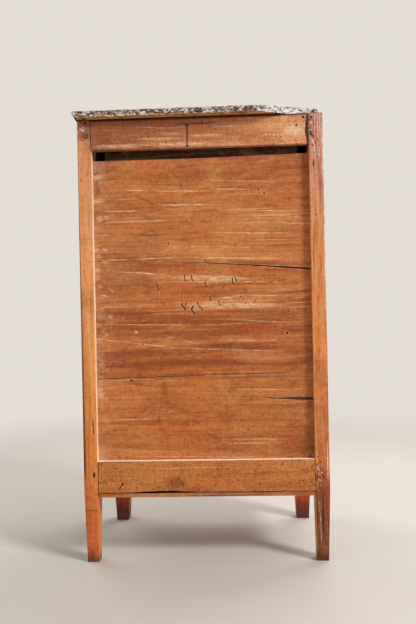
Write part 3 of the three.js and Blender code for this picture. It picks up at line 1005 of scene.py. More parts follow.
def rounded(
    mesh: Shape, edges: Sequence[bmesh.types.BMEdge], offset: float, clamped: bool
) -> list[bmesh.types.BMFace]:
    """Rounds edges with a small bevel of two segments.

    Args:
        mesh: The mesh.
        edges: The edges to round.
        offset: How far the bevel reaches from each edge, in metres.
        clamped: Whether bevels stop where they would meet.

    Returns:
        The bevel's faces.
    """
    made = bmesh.ops.bevel(
        mesh,
        geom=edges,
        offset=offset,
        offset_type="OFFSET",
        segments=2,
        profile=0.5,
        affect="EDGES",
        clamp_overlap=clamped,
        material=-1,
    )
    return made["faces"]


@dataclass
class Timber:
    """One wooden piece of the frame, with eased and slightly uneven edges."""

    node: str
    body: str
    finish: bpy.types.Material
    slot: str = "old_wood"
    ease: float = 0.0009
    step: float = 0.028
    sway: float = 0.00022
    sway_cells: float = 23.0
    sharp: float = math.radians(25)
    warp: Callable[[Vector], Vector] | None = None

    def build(self) -> None:
        """Makes the piece and puts it in the place of its node."""
        mesh = node_shape(self.node)
        low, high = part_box(self.node)
        spans = [high[axis] - low[axis] for axis in range(3)]
        sliced(mesh, spans.index(max(spans)), self.step)
        wear = mesh.faces.layers.float.new("wear")
        arrises = [
            edge
            for edge in mesh.edges
            if edge.is_manifold and edge.calc_face_angle(0.0) > self.sharp
        ]
        for face in rounded(mesh, arrises, self.ease, clamped=True):
            face[wear] = 1.0
        for vertex in mesh.verts:
            vertex.co += self.sway * noise.noise_vector(vertex.co * self.sway_cells)
            if self.warp is not None:
                vertex.co = self.warp(vertex.co)
            vertex.co.z = max(vertex.co.z, 0.0)
        made = piece(f"worn_{self.node}", mesh, self.finish)
        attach(made, self.body)
        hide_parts(self.node)
        log.info("%s stands for %s", made.name, self.node)


@dataclass(frozen=True)
class Board:
    """What sets one board of the back apart from the others."""

    level: str
    seed: float
    scrapes: tuple[Mark, ...]
    dark: tuple[Mark, ...]
    shades: tuple[Mark, ...]
    lift: float = 1.0
    warmth: float = 0.0
    lean: float = 0.0
    bands: float = 0.34
    band: Rgba = tint(156, 92, 56)
    streaks: float = 0.56
    warp: Callable[[Vector], Vector] | None = None
    raw_tones: tuple[tuple[float, tuple[int, int, int]], ...] = (
        (0.05, (176, 102, 50)),
        (0.3, (186, 110, 54)),
        (0.6, (184, 108, 52)),
        (0.85, (182, 110, 56)),
        (0.97, (182, 116, 66)),
    )

    def tones(self) -> Stops:
        """Gives the board's colours, lifted, warmed, and brighter towards +X.

        Returns:
            The stops from the -X end to the +X end.
        """
        gain = (self.lift, self.lift * (1.0 - 0.5 * self.warmth), self.lift * (1.0 - self.warmth))
        stops = []
        for place, tone in self.raw_tones:
            level = 1.0 + self.lean * (place - 0.5)
            stops.append((place, tint(*(a * b * level for a, b in zip(tone, gain)))))
        return tuple(stops)


@dataclass
class BackBoards:
    """The three shrunken boards of the back."""

    upper_scrapes: tuple[Mark, ...] = (
        Mark(134, 761.5, 30, 1.4, 2.3),
        Mark(47, 758, 57, 1.2, 2.5),
        Mark(32, 729, 61, 2.4, 0.8),
        Mark(164, 720, 49, 1.8, 1.2),
        Mark(-58, 759, 49, 1.2, 3.0),
        Mark(-75, 775, 96, 0.9, 2.9),
        Mark(-126, 713, 87, 1.3, 2.4),
        Mark(126, 698, 83, 1.5, 0.2),
        Mark(-99, 668, 102, 1.4, 2.2),
        Mark(-53, 640, 127, 1.2, 1.9),
        Mark(184, 619, 40, 1.2, -1.1),
        Mark(84, 620, 64, 1.6, -0.2),
        Mark(-69, 616.4, 115, 2.2, 2.3),
    )
    middle_scrapes: tuple[Mark, ...] = (
        Mark(125, 590.7, 59, 2.2, 5.1),
        Mark(-20, 577.0, 90, 7.0, 2.1),
        Mark(-36, 569.3, 143, 1.6, 1.3),
        Mark(-60, 520.0, 118, 8.0, 1.0),
        Mark(-60, 537.7, 33, 1.4, -6.3),
        Mark(-125, 539.3, 49, 1.4, 1.8),
        Mark(-118, 486.7, 102, 1.5, 3.6),
        Mark(115, 484.4, 108, 1.3, 1.5),
        Mark(-53, 482, 80, 1.2, -1.0),
        Mark(182, 452.2, 41, 1.4, 7.3),
        Mark(106, 442, 57, 1.5, 6.4),
        Mark(-49, 430, 127, 1.6, 3.1),
        Mark(41, 451, 58, 0.9, 15.1),
        Mark(186, 521.8, 32, 1.2, 0.4),
        Mark(-101, 448, 76, 0.9, 1.2),
    )
    lower_scrapes: tuple[Mark, ...] = (
        Mark(-104, 245.4, 79, 1.2, 0.8),
        Mark(-104, 237.3, 70, 1.3, 0.0),
        Mark(-100, 347.4, 77, 1.2, 2.1),
        Mark(140, 290, 67, 1.6, -0.9),
        Mark(0, 210.5, 215, 0.8, 1.0),
    )
    nicks: tuple[Mark, ...] = (
        Mark(36.7, 580.2, 4.3, 1.2, 87),
        Mark(34.6, 573.5, 4.0, 1.2, 57),
        Mark(22.2, 580.9, 3.9, 1.2, 90),
        Mark(21.0, 574.5, 3.7, 1.2, 66),
        Mark(-5.5, 567.5, 4.3, 1.2, 88),
        Mark(-7.1, 560.7, 3.9, 1.2, 65),
        Mark(-61.5, 573.4, 3.9, 1.4, -83),
        Mark(-62.6, 566.5, 4.4, 1.4, 66),
        Mark(-67.4, 575.9, 2.4, 1.3, 82),
        Mark(-69.0, 570.8, 3.9, 1.3, 67),
        Mark(93.2, 564.5, 4.4, 1.2, 84),
        Mark(91.3, 556.5, 5.1, 1.2, 69),
        Mark(-14.7, 538.2, 2.8, 1.1, 58),
        Mark(-15.9, 533.3, 3.3, 1.1, -86),
        Mark(42.6, 522.4, 5.5, 1.6, 61),
        Mark(37.6, 515.1, 4.8, 1.6, 50),
        Mark(33.9, 528.4, 2.4, 0.9, 89),
        Mark(35.5, 524.2, 3.1, 0.9, -53),
        Mark(21.7, 517.3, 4.9, 1.6, -56),
        Mark(22.0, 510.3, 4.7, 1.6, 59),
        Mark(17.4, 505.0, 3.6, 1.6, 36),
        Mark(10.6, 525.5, 4.6, 1.3, 71),
        Mark(6.0, 518.0, 5.7, 1.3, 47),
        Mark(1.5, 512.5, 2.6, 1.3, 60),
        Mark(-32.6, 527.9, 3.6, 1.1, 79),
        Mark(-34.6, 522.3, 3.3, 1.1, 61),
        Mark(-171, 461, 3.5, 2.0, 60),
        Mark(-42.8, 557.4, 1.5, 1.5),
        Mark(-77.6, 538.1, 1.6, 1.6),
        Mark(95, 573, 1.6, 1.6),
    )
    upper_holes: tuple[Mark, ...] = (
        Mark(69, 650, 2.4, 1.7),
        Mark(32, 634, 1.4, 1.4),
        Mark(-118, 756, 2.0, 1.7),
        Mark(-100, 766, 1.7, 1.7),
        Mark(-50, 812, 1.6, 1.6),
        Mark(-130, 748, 2.6, 1.6, 70),
    )
    joint: tuple[Mark, ...] = (
        Mark(118, 375.6, 110, 0.8, -0.9),
        Mark(60.4, 376.8, 52, 0.7, -0.5),
        Mark(-93.5, 379.2, 82, 0.6, -1.0),
        Mark(196, 374.2, 30, 0.8, -0.8),
        Mark(150, 369.5, 5, 1.6, 30),
    )
    crack: tuple[Mark, ...] = (
        Mark(24.7, 610.5, 52, 0.9, 3.1),
        Mark(-54.2, 605.0, 69, 1.2, 4.4),
        Mark(-150, 597.3, 80, 1.5, 4.9),
        Mark(-190, 593.9, 60, 2.0, 4.9),
    )
    split: tuple[Mark, ...] = (
        Mark(-186.4, 326.6, 48, 1.3, 2.0),
        Mark(-206, 325.8, 34, 1.9, 1.6),
        Mark(-139.7, 328.6, 18, 0.8, 4.2),
    )
    scuffs: tuple[Mark, ...] = (
        Mark(198.7, 640.4, 9, 4.5, 24),
        Mark(217.6, 643.0, 6, 9, 5),
        Mark(214, 628, 8, 5, 12),
        Mark(199.2, 615.6, 7, 4.5, 5),
        Mark(216.6, 597.5, 8, 9, 8),
        Mark(217.5, 583.1, 7, 8, 8),
        Mark(212, 566, 9, 4, 20),
        Mark(192.5, 501.8, 7, 6, 10),
        Mark(165.8, 499.1, 3, 2.6, 10),
        Mark(219.9, 485.8, 8, 4, 0),
        Mark(199.5, 466.0, 5, 4, 30),
        Mark(138.3, 469.6, 5, 4, 40),
        Mark(217.4, 456.8, 9, 3, 4),
        Mark(188, 556, 12, 2.4, 40),
        Mark(204, 545, 12, 2.4, 4),
        Mark(214, 790, 8, 16, 80),
        Mark(219, 740, 6, 26, 84),
        Mark(210, 706, 9, 8, 20),
        Mark(196, 708, 8, 5, 20),
        Mark(215, 346, 24, 9, 88),
        Mark(206, 334, 9, 4, 6),
    )
    bright: tuple[Mark, ...] = (
        Mark(0, 632, 240, 26, 1),
        Mark(165, 582, 80, 36, 0),
        Mark(60, 580, 120, 20, 2),
        Mark(-130, 618, 110, 16, 2),
        Mark(-130, 412, 90, 14, 1),
    )
    # Mostly painted shade along the joint between the middle and lower boards, with a few dark
    # smudges.
    joint_shades: tuple[Mark, ...] = (
        Mark(120, 379.5, 130, 3.0, 1.0),
        Mark(-60, 381.0, 190, 2.4, -0.9),
        Mark(-100, 373, 120, 4, -1),
        Mark(150, 366, 16, 4, 4),
        Mark(95, 372, 22, 4, 2),
        Mark(84, 356, 16, 9, 80),
        Mark(94, 288, 16, 5, 84),
    )
    upper_shades: tuple[Mark, ...] = (
        Mark(40, 770, 14, 3.5, 80),
        Mark(-20, 640, 22, 3.5, 86),
        Mark(118, 742, 20, 4, 20),
        Mark(-160, 640, 50, 5, 0),
        Mark(-120, 606, 60, 4, 2),
        Mark(26.2, 638, 14, 5, 88),
        Mark(213, 770, 18, 6, 86),
    )
    middle_shades: tuple[Mark, ...] = (
        Mark(60, 498, 150, 7, 1),
        Mark(150, 508, 70, 9, 3),
        Mark(-90, 506, 110, 5, 2),
        Mark(140, 425, 90, 12, -4),
        Mark(20, 455, 60, 9, 3),
        Mark(-60, 402, 160, 7, 2),
        Mark(120, 578, 80, 5, 3),
        Mark(-150, 500, 70, 9, 1),
        Mark(-190, 470, 50, 7, 1),
        Mark(-20, 488, 130, 9, 1),
        Mark(-60, 436, 130, 10, 2),
        Mark(30, 404, 170, 8, -1),
        Mark(-40, 546, 120, 5, 2),
        Mark(166.2, 405.0, 16, 6, -70),
        Mark(20, 463, 200, 7, 0.5),
        Mark(-130, 490, 60, 7, 1),
    )
    ease: float = 0.0006
    edge_above: float = 0.82
    edge_wander: float = 0.0006
    edge_cells: float = 19.0

    def build(self) -> None:
        """Makes the three boards."""
        for board in self._boards():
            finish = OldWood(
                name=f"board_{board.level}",
                grain=Grain.LEVEL,
                tones=board.tones(),
                wash=Wash.ALONG_X,
                seed=board.seed,
                bands=board.bands,
                band=board.band,
                torn=0.5,
                streaks=board.streaks,
                comb=0.26,
                scrapes=0.42,
                worm=0.18,
                dust=0.3,
                pale_marks=board.scrapes,
                grey_marks=self.scuffs,
                dark_marks=board.dark,
                shades=board.shades,
                lights=self.bright,
            )
            node = f"board_back_{board.level}"
            wood = finish.material()
            Timber(node, "carcass", wood, ease=self.ease, warp=board.warp).build()

    def _boards(self) -> tuple[Board, ...]:
        """Gives the boards from the top down.

        Returns:
            The upper, middle and lower board.
        """
        return (
            Board(
                "upper",
                0.31,
                self.upper_scrapes,
                self.upper_holes + self.crack,
                self.upper_shades,
                warmth=0.03,
                warp=self._settled_edge,
            ),
            Board(
                "middle",
                1.73,
                self.middle_scrapes,
                self.nicks + self.joint + self.crack,
                self.middle_shades,
                warmth=0.15,
                lean=0.04,
                bands=0.5,
                band=tint(168, 84, 44),
            ),
            Board(
                "lower",
                2.97,
                self.lower_scrapes,
                self.joint + self.split,
                self.joint_shades,
                lift=1.05,
                warmth=0.04,
                lean=0.15,
                streaks=0.46,
            ),
        )

    def _settled_edge(self, point: Vector) -> Vector:
        """Lets the upper board's top edge wander by half a millimetre.

        Args:
            point: A corner of the mesh.

        Returns:
            Its new place.
        """
        if point.z > self.edge_above:
            spot = Vector((point.x * self.edge_cells, 0.3, 4.0))
            point.z += self.edge_wander * noise.noise(spot)
        return point


@dataclass
class BackFrame:
    """The rear posts, the back rails, and what fastens them."""

    # Painted shade: the top rail darkens towards +X, where the slab's shadow falls, and stays light
    # at -X.
    rail_tones: Stops = (
        (0.05, tint(212, 154, 106)),
        (0.3, tint(204, 138, 86)),
        (0.5, tint(190, 118, 70)),
        (0.95, tint(186, 116, 70)),
    )
    low_rail_tones: Stops = (
        (0.05, tint(200, 122, 62)),
        (0.5, tint(198, 120, 58)),
        (0.95, tint(204, 126, 62)),
    )
    left_post_tones: Stops = (
        (0.0, tint(204, 98, 32)),
        (0.14, tint(220, 114, 42)),
        (0.24, tint(234, 146, 66)),
        (0.45, tint(228, 152, 82)),
        (0.85, tint(224, 158, 106)),
        (0.935, tint(214, 146, 98)),
        # Painted shade of the slab: this last stop darkens the post's head.
        (0.95, tint(158, 96, 68)),
    )
    right_post_tones: Stops = (
        (0.0, tint(122, 62, 34)),
        (0.16, tint(146, 74, 40)),
        (0.23, tint(212, 128, 66)),
        (0.5, tint(216, 134, 66)),
        (0.72, tint(214, 138, 80)),
        (0.82, tint(200, 134, 100)),
        (0.98, tint(180, 126, 114)),
    )
    pin_tones: Stops = ((0.0, tint(160, 92, 44)), (1.0, tint(178, 112, 64)))
    nails: tuple[Span, ...] = ((232.7, 872.1), (-232.0, 889.0))
    pins: tuple[Span, ...] = ((-232.0, 200.0), (-232.0, 152.0), (232.5, 856.0))
    nail_head: Span = (0.0026, 0.0007)
    pin_head: Span = (0.0031, 0.0004)
    head_sides: int = 14
    head_taper: float = 0.72
    head_rim: float = 0.6
    left_ease: float = 0.0012
    right_ease: float = 0.0015
    right_sway: float = 0.0005
    gap_below: float = 0.145
    gap_behind: float = 0.155
    gap_middle: float = 0.08
    gap_reach: Span = (0.055, 0.042)
    gap_rise: float = 0.0031
    fray: float = 0.0006
    fray_cells: float = 16.0

    def build(self) -> None:
        """Makes posts, rails and fastenings."""
        top, low = self._top_rail(), self._low_rail()
        Timber("rail_back_top", "carcass", top).build()
        Timber("rail_back_bottom", "carcass", low, warp=self._hollowed).build()
        left = self._left_post()
        Timber("post_rear_right", "carcass", left, ease=self.left_ease).build()
        right, sway = self._right_post(), self.right_sway
        Timber("post_rear_left", "carcass", right, ease=self.right_ease, sway=sway).build()
        self._fastenings()

    def _top_rail(self) -> bpy.types.Material:
        """The top rail's wood, with one crack; painted shade of the slab darkens it towards +X and
        along its top.

        Returns:
            The finished material.
        """
        return OldWood(
            name="rail_top_wood",
            grain=Grain.LEVEL,
            tones=self.rail_tones,
            wash=Wash.ALONG_X,
            seed=5.1,
            bands=0.34,
            streaks=0.5,
            comb=0.5,
            scrapes=0.4,
            worm=0.55,
            pale_marks=(
                Mark(106, 885.8, 27, 1.6, 3.5),
                Mark(64, 883.7, 36, 1.3, 1.3),
                Mark(188, 883.2, 17, 1.2, 7.3),
                Mark(-51, 882.4, 39, 1.3, -1.2),
            ),
            pale=tint(220, 186, 152),
            chalk=tint(226, 214, 202),
            grey_marks=(
                Mark(63, 872, 37, 4, 3.5),
                Mark(80, 862, 60, 4, 1),
                Mark(-10, 866, 46, 3, 1),
                Mark(-190, 868, 30, 16, 1),
                Mark(170, 849, 60, 5, 0.5),
                Mark(40, 850, 90, 4, 0.5),
            ),
            dark_marks=(
                Mark(24.7, 867, 24, 1.5, -88.8),
                Mark(25, 845.5, 2.9, 2.4),
                Mark(26, 888, 4.0, 2.0, 60),
                Mark(23.4, 888, 4.0, 2.0, -60),
                Mark(34, 890.5, 14, 1.0, -1.5),
                Mark(-4, 890.5, 26, 1.2, 0.5),
                # Painted contact shadow along the top of the rail, under the slab.
                Mark(0, 904.4, 900, 3.6, 0),
                Mark(-210.6, 895.9, 3.0, 2.6),
                Mark(-196.8, 879.9, 2.2, 2.2),
                *self._right_joint(),
            ),
            # Painted shadow of the slab's overhang over the rail's upper part; the lowest band
            # stays light.
            shades=(
                Mark(0, 901, 300, 5, 0),
                Mark(130, 886, 240, 34, 0),
                Mark(0, 884, 150, 22, 0),
                Mark(200, 884, 70, 36, 0),
            ),
        ).material()

    @staticmethod
    def _right_joint() -> tuple[Mark, ...]:
        """The ragged dark gap between the top rail and the post at -X.

        Returns:
            The strokes.
        """
        return (
            Mark(-219.0, 895.7, 9.0, 2.8, -88),
            Mark(-218.2, 883.6, 9.6, 3.4, -84),
            Mark(-217.6, 871.6, 9.6, 3.8, -87),
            Mark(-218.0, 860.4, 9.0, 3.4, 84),
            Mark(-218.8, 850.3, 9.0, 2.8, 87),
            Mark(-219.6, 873, 40, 2.2, 90),
        )

    def _low_rail(self) -> bpy.types.Material:
        """The bottom rail's wood, drilled all over by woodworm.

        Returns:
            The finished material.
        """
        return OldWood(
            name="rail_bottom_wood",
            grain=Grain.LEVEL,
            # A near-white ledge: dust and a painted highlight on the rail's top face.
            ledge=tint(255, 240, 222),
            tones=self.low_rail_tones,
            wash=Wash.ALONG_X,
            seed=6.4,
            bands=0.3,
            streaks=0.4,
            comb=0.5,
            scrapes=0.2,
            worm=1.2,
            pale_marks=(
                Mark(71, 190.0, 39, 1.6, -0.8),
                Mark(1, 191, 42, 1.2, -0.7),
                Mark(170.4, 153.8, 4.0, 1.4, -61),
            ),
            dark_marks=(
                Mark(171.3, 158.3, 3.4, 2.0, -55),
                Mark(175.9, 151.4, 4.9, 1.2, -57),
                Mark(221.0, 196, 9, 1.6, 90),
                Mark(221.2, 172, 34, 0.9, 90),
                Mark(-221.4, 174, 38, 1.1, 90),
            ),
            shades=(Mark(60, 160, 24, 20, 0),),
        ).material()

    def _left_post(self) -> bpy.types.Material:
        """The wood of the post at +X, on the left in the picture.

        Returns:
            The finished material.
        """
        return OldWood(
            name="post_rear_right_wood",
            grain=Grain.UPRIGHT,
            tones=self.left_post_tones,
            seed=7.7,
            bands=0.36,
            streaks=0.56,
            comb=0.05,
            # Raw wood on the inner face, lifted to near-white as a painted highlight.
            inside=tint(252, 229, 198),
            scrapes=0.1,
            worm=0.16,
            bare_inside=0.85,
            roughness=0.5,
            chalk=tint(232, 216, 204),
            dark_marks=(
                Mark(233.4, 898.8, 3.4, 2.8, 80),
                Mark(243.2, 903.0, 2.4, 2.2),
                Mark(232.7, 872.1, 4.6, 4.6),
                Mark(229.4, 281, 9.0, 1.3, 88),
                Mark(228.4, 268, 6.0, 1.3, 80),
                Mark(238, 105, 16, 0.6),
                Mark(229.3, 177.9, 6.0, 2.4, 89),
                Mark(223, 875, 34, 1.1, 90),
            ),
            pale_marks=(
                Mark(240, 885.6, 7, 3.2, 24),
                Mark(236, 890, 6, 1.6, 30),
                Mark(249, 882, 8, 1.8, 80),
                Mark(248.6, 897, 5, 1.4, 88),
                Mark(231.6, 276, 14, 0.9, 88),
            ),
            # Painted shade of the slab on the post's head.
            shades=(Mark(234, 896, 20, 12), Mark(236, 872, 14, 12)),
        ).material()

    def _right_post(self) -> bpy.types.Material:
        """The wood of the post at -X, on the right in the picture.

        Returns:
            The finished material.
        """
        return OldWood(
            name="post_rear_left_wood",
            grain=Grain.UPRIGHT,
            tones=self.right_post_tones,
            seed=9.2,
            bands=0.6,
            streaks=0.7,
            comb=0.05,
            scrapes=0.5,
            worm=0.3,
            bare_inside=0.6,
            roughness=0.55,
            chalk=tint(240, 214, 196),
            inside_low=tint(206, 146, 44),
            dark_marks=(
                Mark(-229.7, 802.5, 7.6, 1.5, -88),
                Mark(-224.2, 861.9, 5.6, 1.6, 3),
                Mark(-223.4, 864.5, 4.2, 1.5, -72),
                Mark(-227.2, 894.9, 2.8, 2.4),
                Mark(-223.9, 889.8, 1.8, 1.8),
                Mark(-223.8, 873.3, 2.0, 2.0),
                Mark(-227, 172, 7, 1.0, 40),
                Mark(-224.0, 166, 6, 1.2, 88),
                Mark(-235.0, 95, 46, 1.6, 90),
                Mark(-223.2, 100, 42, 1.1, 90),
                Mark(-230.5, 857, 3.0, 0.9, 78),
                Mark(-234.0, 844, 2.6, 0.8, 84),
                Mark(-228.5, 838, 3.0, 0.8, 72),
                Mark(-236.5, 866, 2.6, 0.7, 86),
                Mark(-239.0, 850, 2.0, 0.7, 88),
                Mark(-231.5, 824, 2.2, 0.8, 80),
                Mark(-241.0, 838, 2.6, 0.7, 90),
                Mark(-233.5, 881, 2.0, 0.8, 84),
                Mark(-238.0, 889, 2.4, 0.7, 88),
            ),
            pale_marks=(
                Mark(-227, 187, 6, 1.6, 40),
                Mark(-229, 163, 7, 2.0, 20),
                Mark(-231, 181, 7, 1.4, 52),
                Mark(-246, 200, 50, 1.4, 90),
                # The next two strokes along the outer edge are a painted highlight.
                Mark(-248.5, 820, 90, 1.6, 90),
                Mark(-248.9, 620, 170, 1.2, 90),
                Mark(-228, 850, 12, 2.0, 70),
                Mark(-226, 884, 9, 1.6, 40),
                Mark(-233, 828, 14, 1.2, 86),
                Mark(-242, 826, 20, 1.0, 92),
                Mark(-244, 872, 40, 0.9, 89),
                Mark(-239.5, 858, 60, 0.8, 90),
                Mark(-234, 880, 26, 0.8, 91),
                Mark(-230, 66, 36, 0.9, 89),
            ),
            shades=(Mark(-236, 840, 70, 2, 90), Mark(-240, 780, 60, 2.6, 88)),
            knots=(
                Mark(-231, 178, 22, 9, 62),
                Mark(-226, 190, 10, 5, 80),
                Mark(-227, 868, 26, 6, 90),
            ),
        ).material()

    def _hollowed(self, point: Vector) -> Vector:
        """Lifts the worn-away bottom edge of the low rail where it gapes.

        Args:
            point: A corner of the mesh.

        Returns:
            Its new place.
        """
        if point.z < self.gap_below and point.y > self.gap_behind:
            reach = self.gap_reach[0 if point.x > self.gap_middle else 1]
            hump = math.exp(-(((point.x - self.gap_middle) / reach) ** 4))
            ragged = max(0.0, noise.noise(point * self.fray_cells))
            point.z += self.gap_rise * hump + self.fray * ragged
        return point

    def _fastenings(self) -> None:
        """Nail heads and draw pins where the rails meet the rear posts."""
        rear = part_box("post_rear_right")[1][1]
        nails = bmesh.new()
        for x, z in self.nails:
            self._head(nails, Vector((x * MM, rear, z * MM)), *self.nail_head)
        heads = piece("nail_heads", nails, RustedIron().material())
        pins = bmesh.new()
        for x, z in self.pins:
            self._head(pins, Vector((x * MM, rear, z * MM)), *self.pin_head)
        wood = OldWood("pin_wood", Grain.DEEP, self.pin_tones, seed=3.3, scrapes=0.0)
        draw = piece("draw_pins", pins, wood.material())
        for made, slot in ((heads, "brass"), (draw, "old_wood")):
            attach(made, "carcass")
            log.info("%s on the rear posts", made.name)

    def _head(self, mesh: Shape, middle: Vector, radius: float, rise: float) -> None:
        """Adds one low round head that looks along +Y.

        Args:
            mesh: The mesh that gets it.
            middle: Its middle on the wood.
            radius: Its radius.
            rise: How far it stands up.
        """
        turned = Matrix.Translation(middle) @ Matrix.Rotation(math.radians(-90), 4, "X")
        made = bmesh.ops.create_cone(
            mesh,
            cap_ends=True,
            segments=self.head_sides,
            radius1=radius,
            radius2=radius * self.head_taper,
            depth=rise * 2,
            matrix=turned,
        )
        edges = dict.fromkeys(edge for vertex in made["verts"] for edge in vertex.link_edges)
        rims = [edge for edge in edges if edge.calc_face_angle(0.0) > self.head_rim]
        rounded(mesh, rims, rise * 0.4, clamped=False)


def show_wood(name: str, grain: Grain, seed: float) -> OldWood:
    """The wood of the sides and the front, varnished where it shows."""
    tones = ((0.0, tint(168, 56, 12)), (0.2, tint(172, 82, 34)), (1.0, tint(176, 106, 58)))
    return OldWood(name, grain, tones, seed=seed, scrapes=0.15, worm=0.1)


@dataclass
class Sides:
    """Side rails and panels between the posts."""

    panel_ease: float = 0.0004

    def build(self) -> None:
        """Makes both sides."""
        rail = show_wood("side_rail_wood", Grain.DEEP, 11.4).material()
        panel = show_wood("side_panel_wood", Grain.UPRIGHT, 12.8).material()
        for side in ("left", "right"):
            for level in ("top", "bottom"):
                Timber(f"rail_side_{level}_{side}", "carcass", rail).build()
            Timber(f"panel_side_{side}", "carcass", panel, ease=self.panel_ease).build()


@dataclass
class FrontFrame:
    """Front posts, rails and dividers, and the board under the case."""

    board_tones: Stops = ((0.0, tint(158, 84, 38)), (1.0, tint(168, 92, 44)))
    post_ease: float = 0.0013
    post_soil: float = 0.037
    sag: float = 0.0012
    sag_behind: float = 0.12
    sag_above: float = 0.136
    sag_cells: float = 14.0
    slimming: float = 0.0025
    foot_top: float = 0.139
    foot_fade: float = 0.012
    foot_inside: float = 0.225

    def build(self) -> None:
        """Makes the front frame and the bottom board."""
        clean = show_wood("front_post_wood", Grain.UPRIGHT, 14.1)
        post = replace(clean, soil=self.post_soil).material()
        rail = show_wood("front_rail_wood", Grain.LEVEL, 15.6).material()
        for side in ("left", "right"):
            node = f"post_front_{side}"
            Timber(node, "carcass", post, ease=self.post_ease, warp=self._slimmed).build()
        dividers = [f"divider_{index}" for index in (1, 2, 3)]
        for node in ("rail_front_top", *dividers, "rail_front_bottom"):
            Timber(node, "carcass", rail).build()
        board = OldWood(
            "bottom_board_wood",
            Grain.LEVEL,
            self.board_tones,
            seed=17.2,
            worm=0.3,
            # The ledge colour paints shade on the board's top face, seen through the gap; the pale
            # stroke is a painted highlight on its top rear edge.
            ledge=tint(34, 20, 13),
            pale_marks=(Mark(0, 140.3, 300, 0.6, 0),),
        )
        Timber("board_bottom", "carcass", board.material(), warp=self._sagged).build()

    def _slimmed(self, point: Vector) -> Vector:
        """Takes a little off the inner faces of the front feet.

        Args:
            point: A corner of the mesh.

        Returns:
            Its new place.
        """
        if point.z < self.foot_top and abs(point.x) < self.foot_inside:
            depth = self.slimming * min(1.0, (self.foot_top - point.z) / self.foot_fade)
            point.x += math.copysign(depth, point.x)
        return point

    def _sagged(self, point: Vector) -> Vector:
        """Lets the rear edge of the bottom board part a little from the rail.

        Args:
            point: A corner of the mesh.

        Returns:
            Its new place.
        """
        if point.y > self.sag_behind and point.z > self.sag_above:
            wander = noise.noise(Vector((point.x * self.sag_cells, 2.0, 0.0)))
            point.z -= self.sag * (0.5 + 0.5 * wander)
        return point


@dataclass
class Runners:
    """Runners with their guides, and the kickers over the top drawer."""

    tones: Stops = ((0.0, tint(168, 122, 82)), (0.5, tint(184, 138, 94)), (1.0, tint(176, 128, 86)))

    def build(self) -> None:
        """Makes runners and kickers of unfinished wood."""
        raw = OldWood("raw_runner_wood", Grain.DEEP, self.tones, seed=19.0, worm=0.1, scrapes=0.2)
        finish = raw.material()
        names = [f"runner_{index}" for index in (1, 2, 3, 4)] + ["kicker"]
        for name in names:
            for side in ("left", "right"):
                Timber(f"{name}_{side}", "carcass", finish, slot="inner_wood").build()


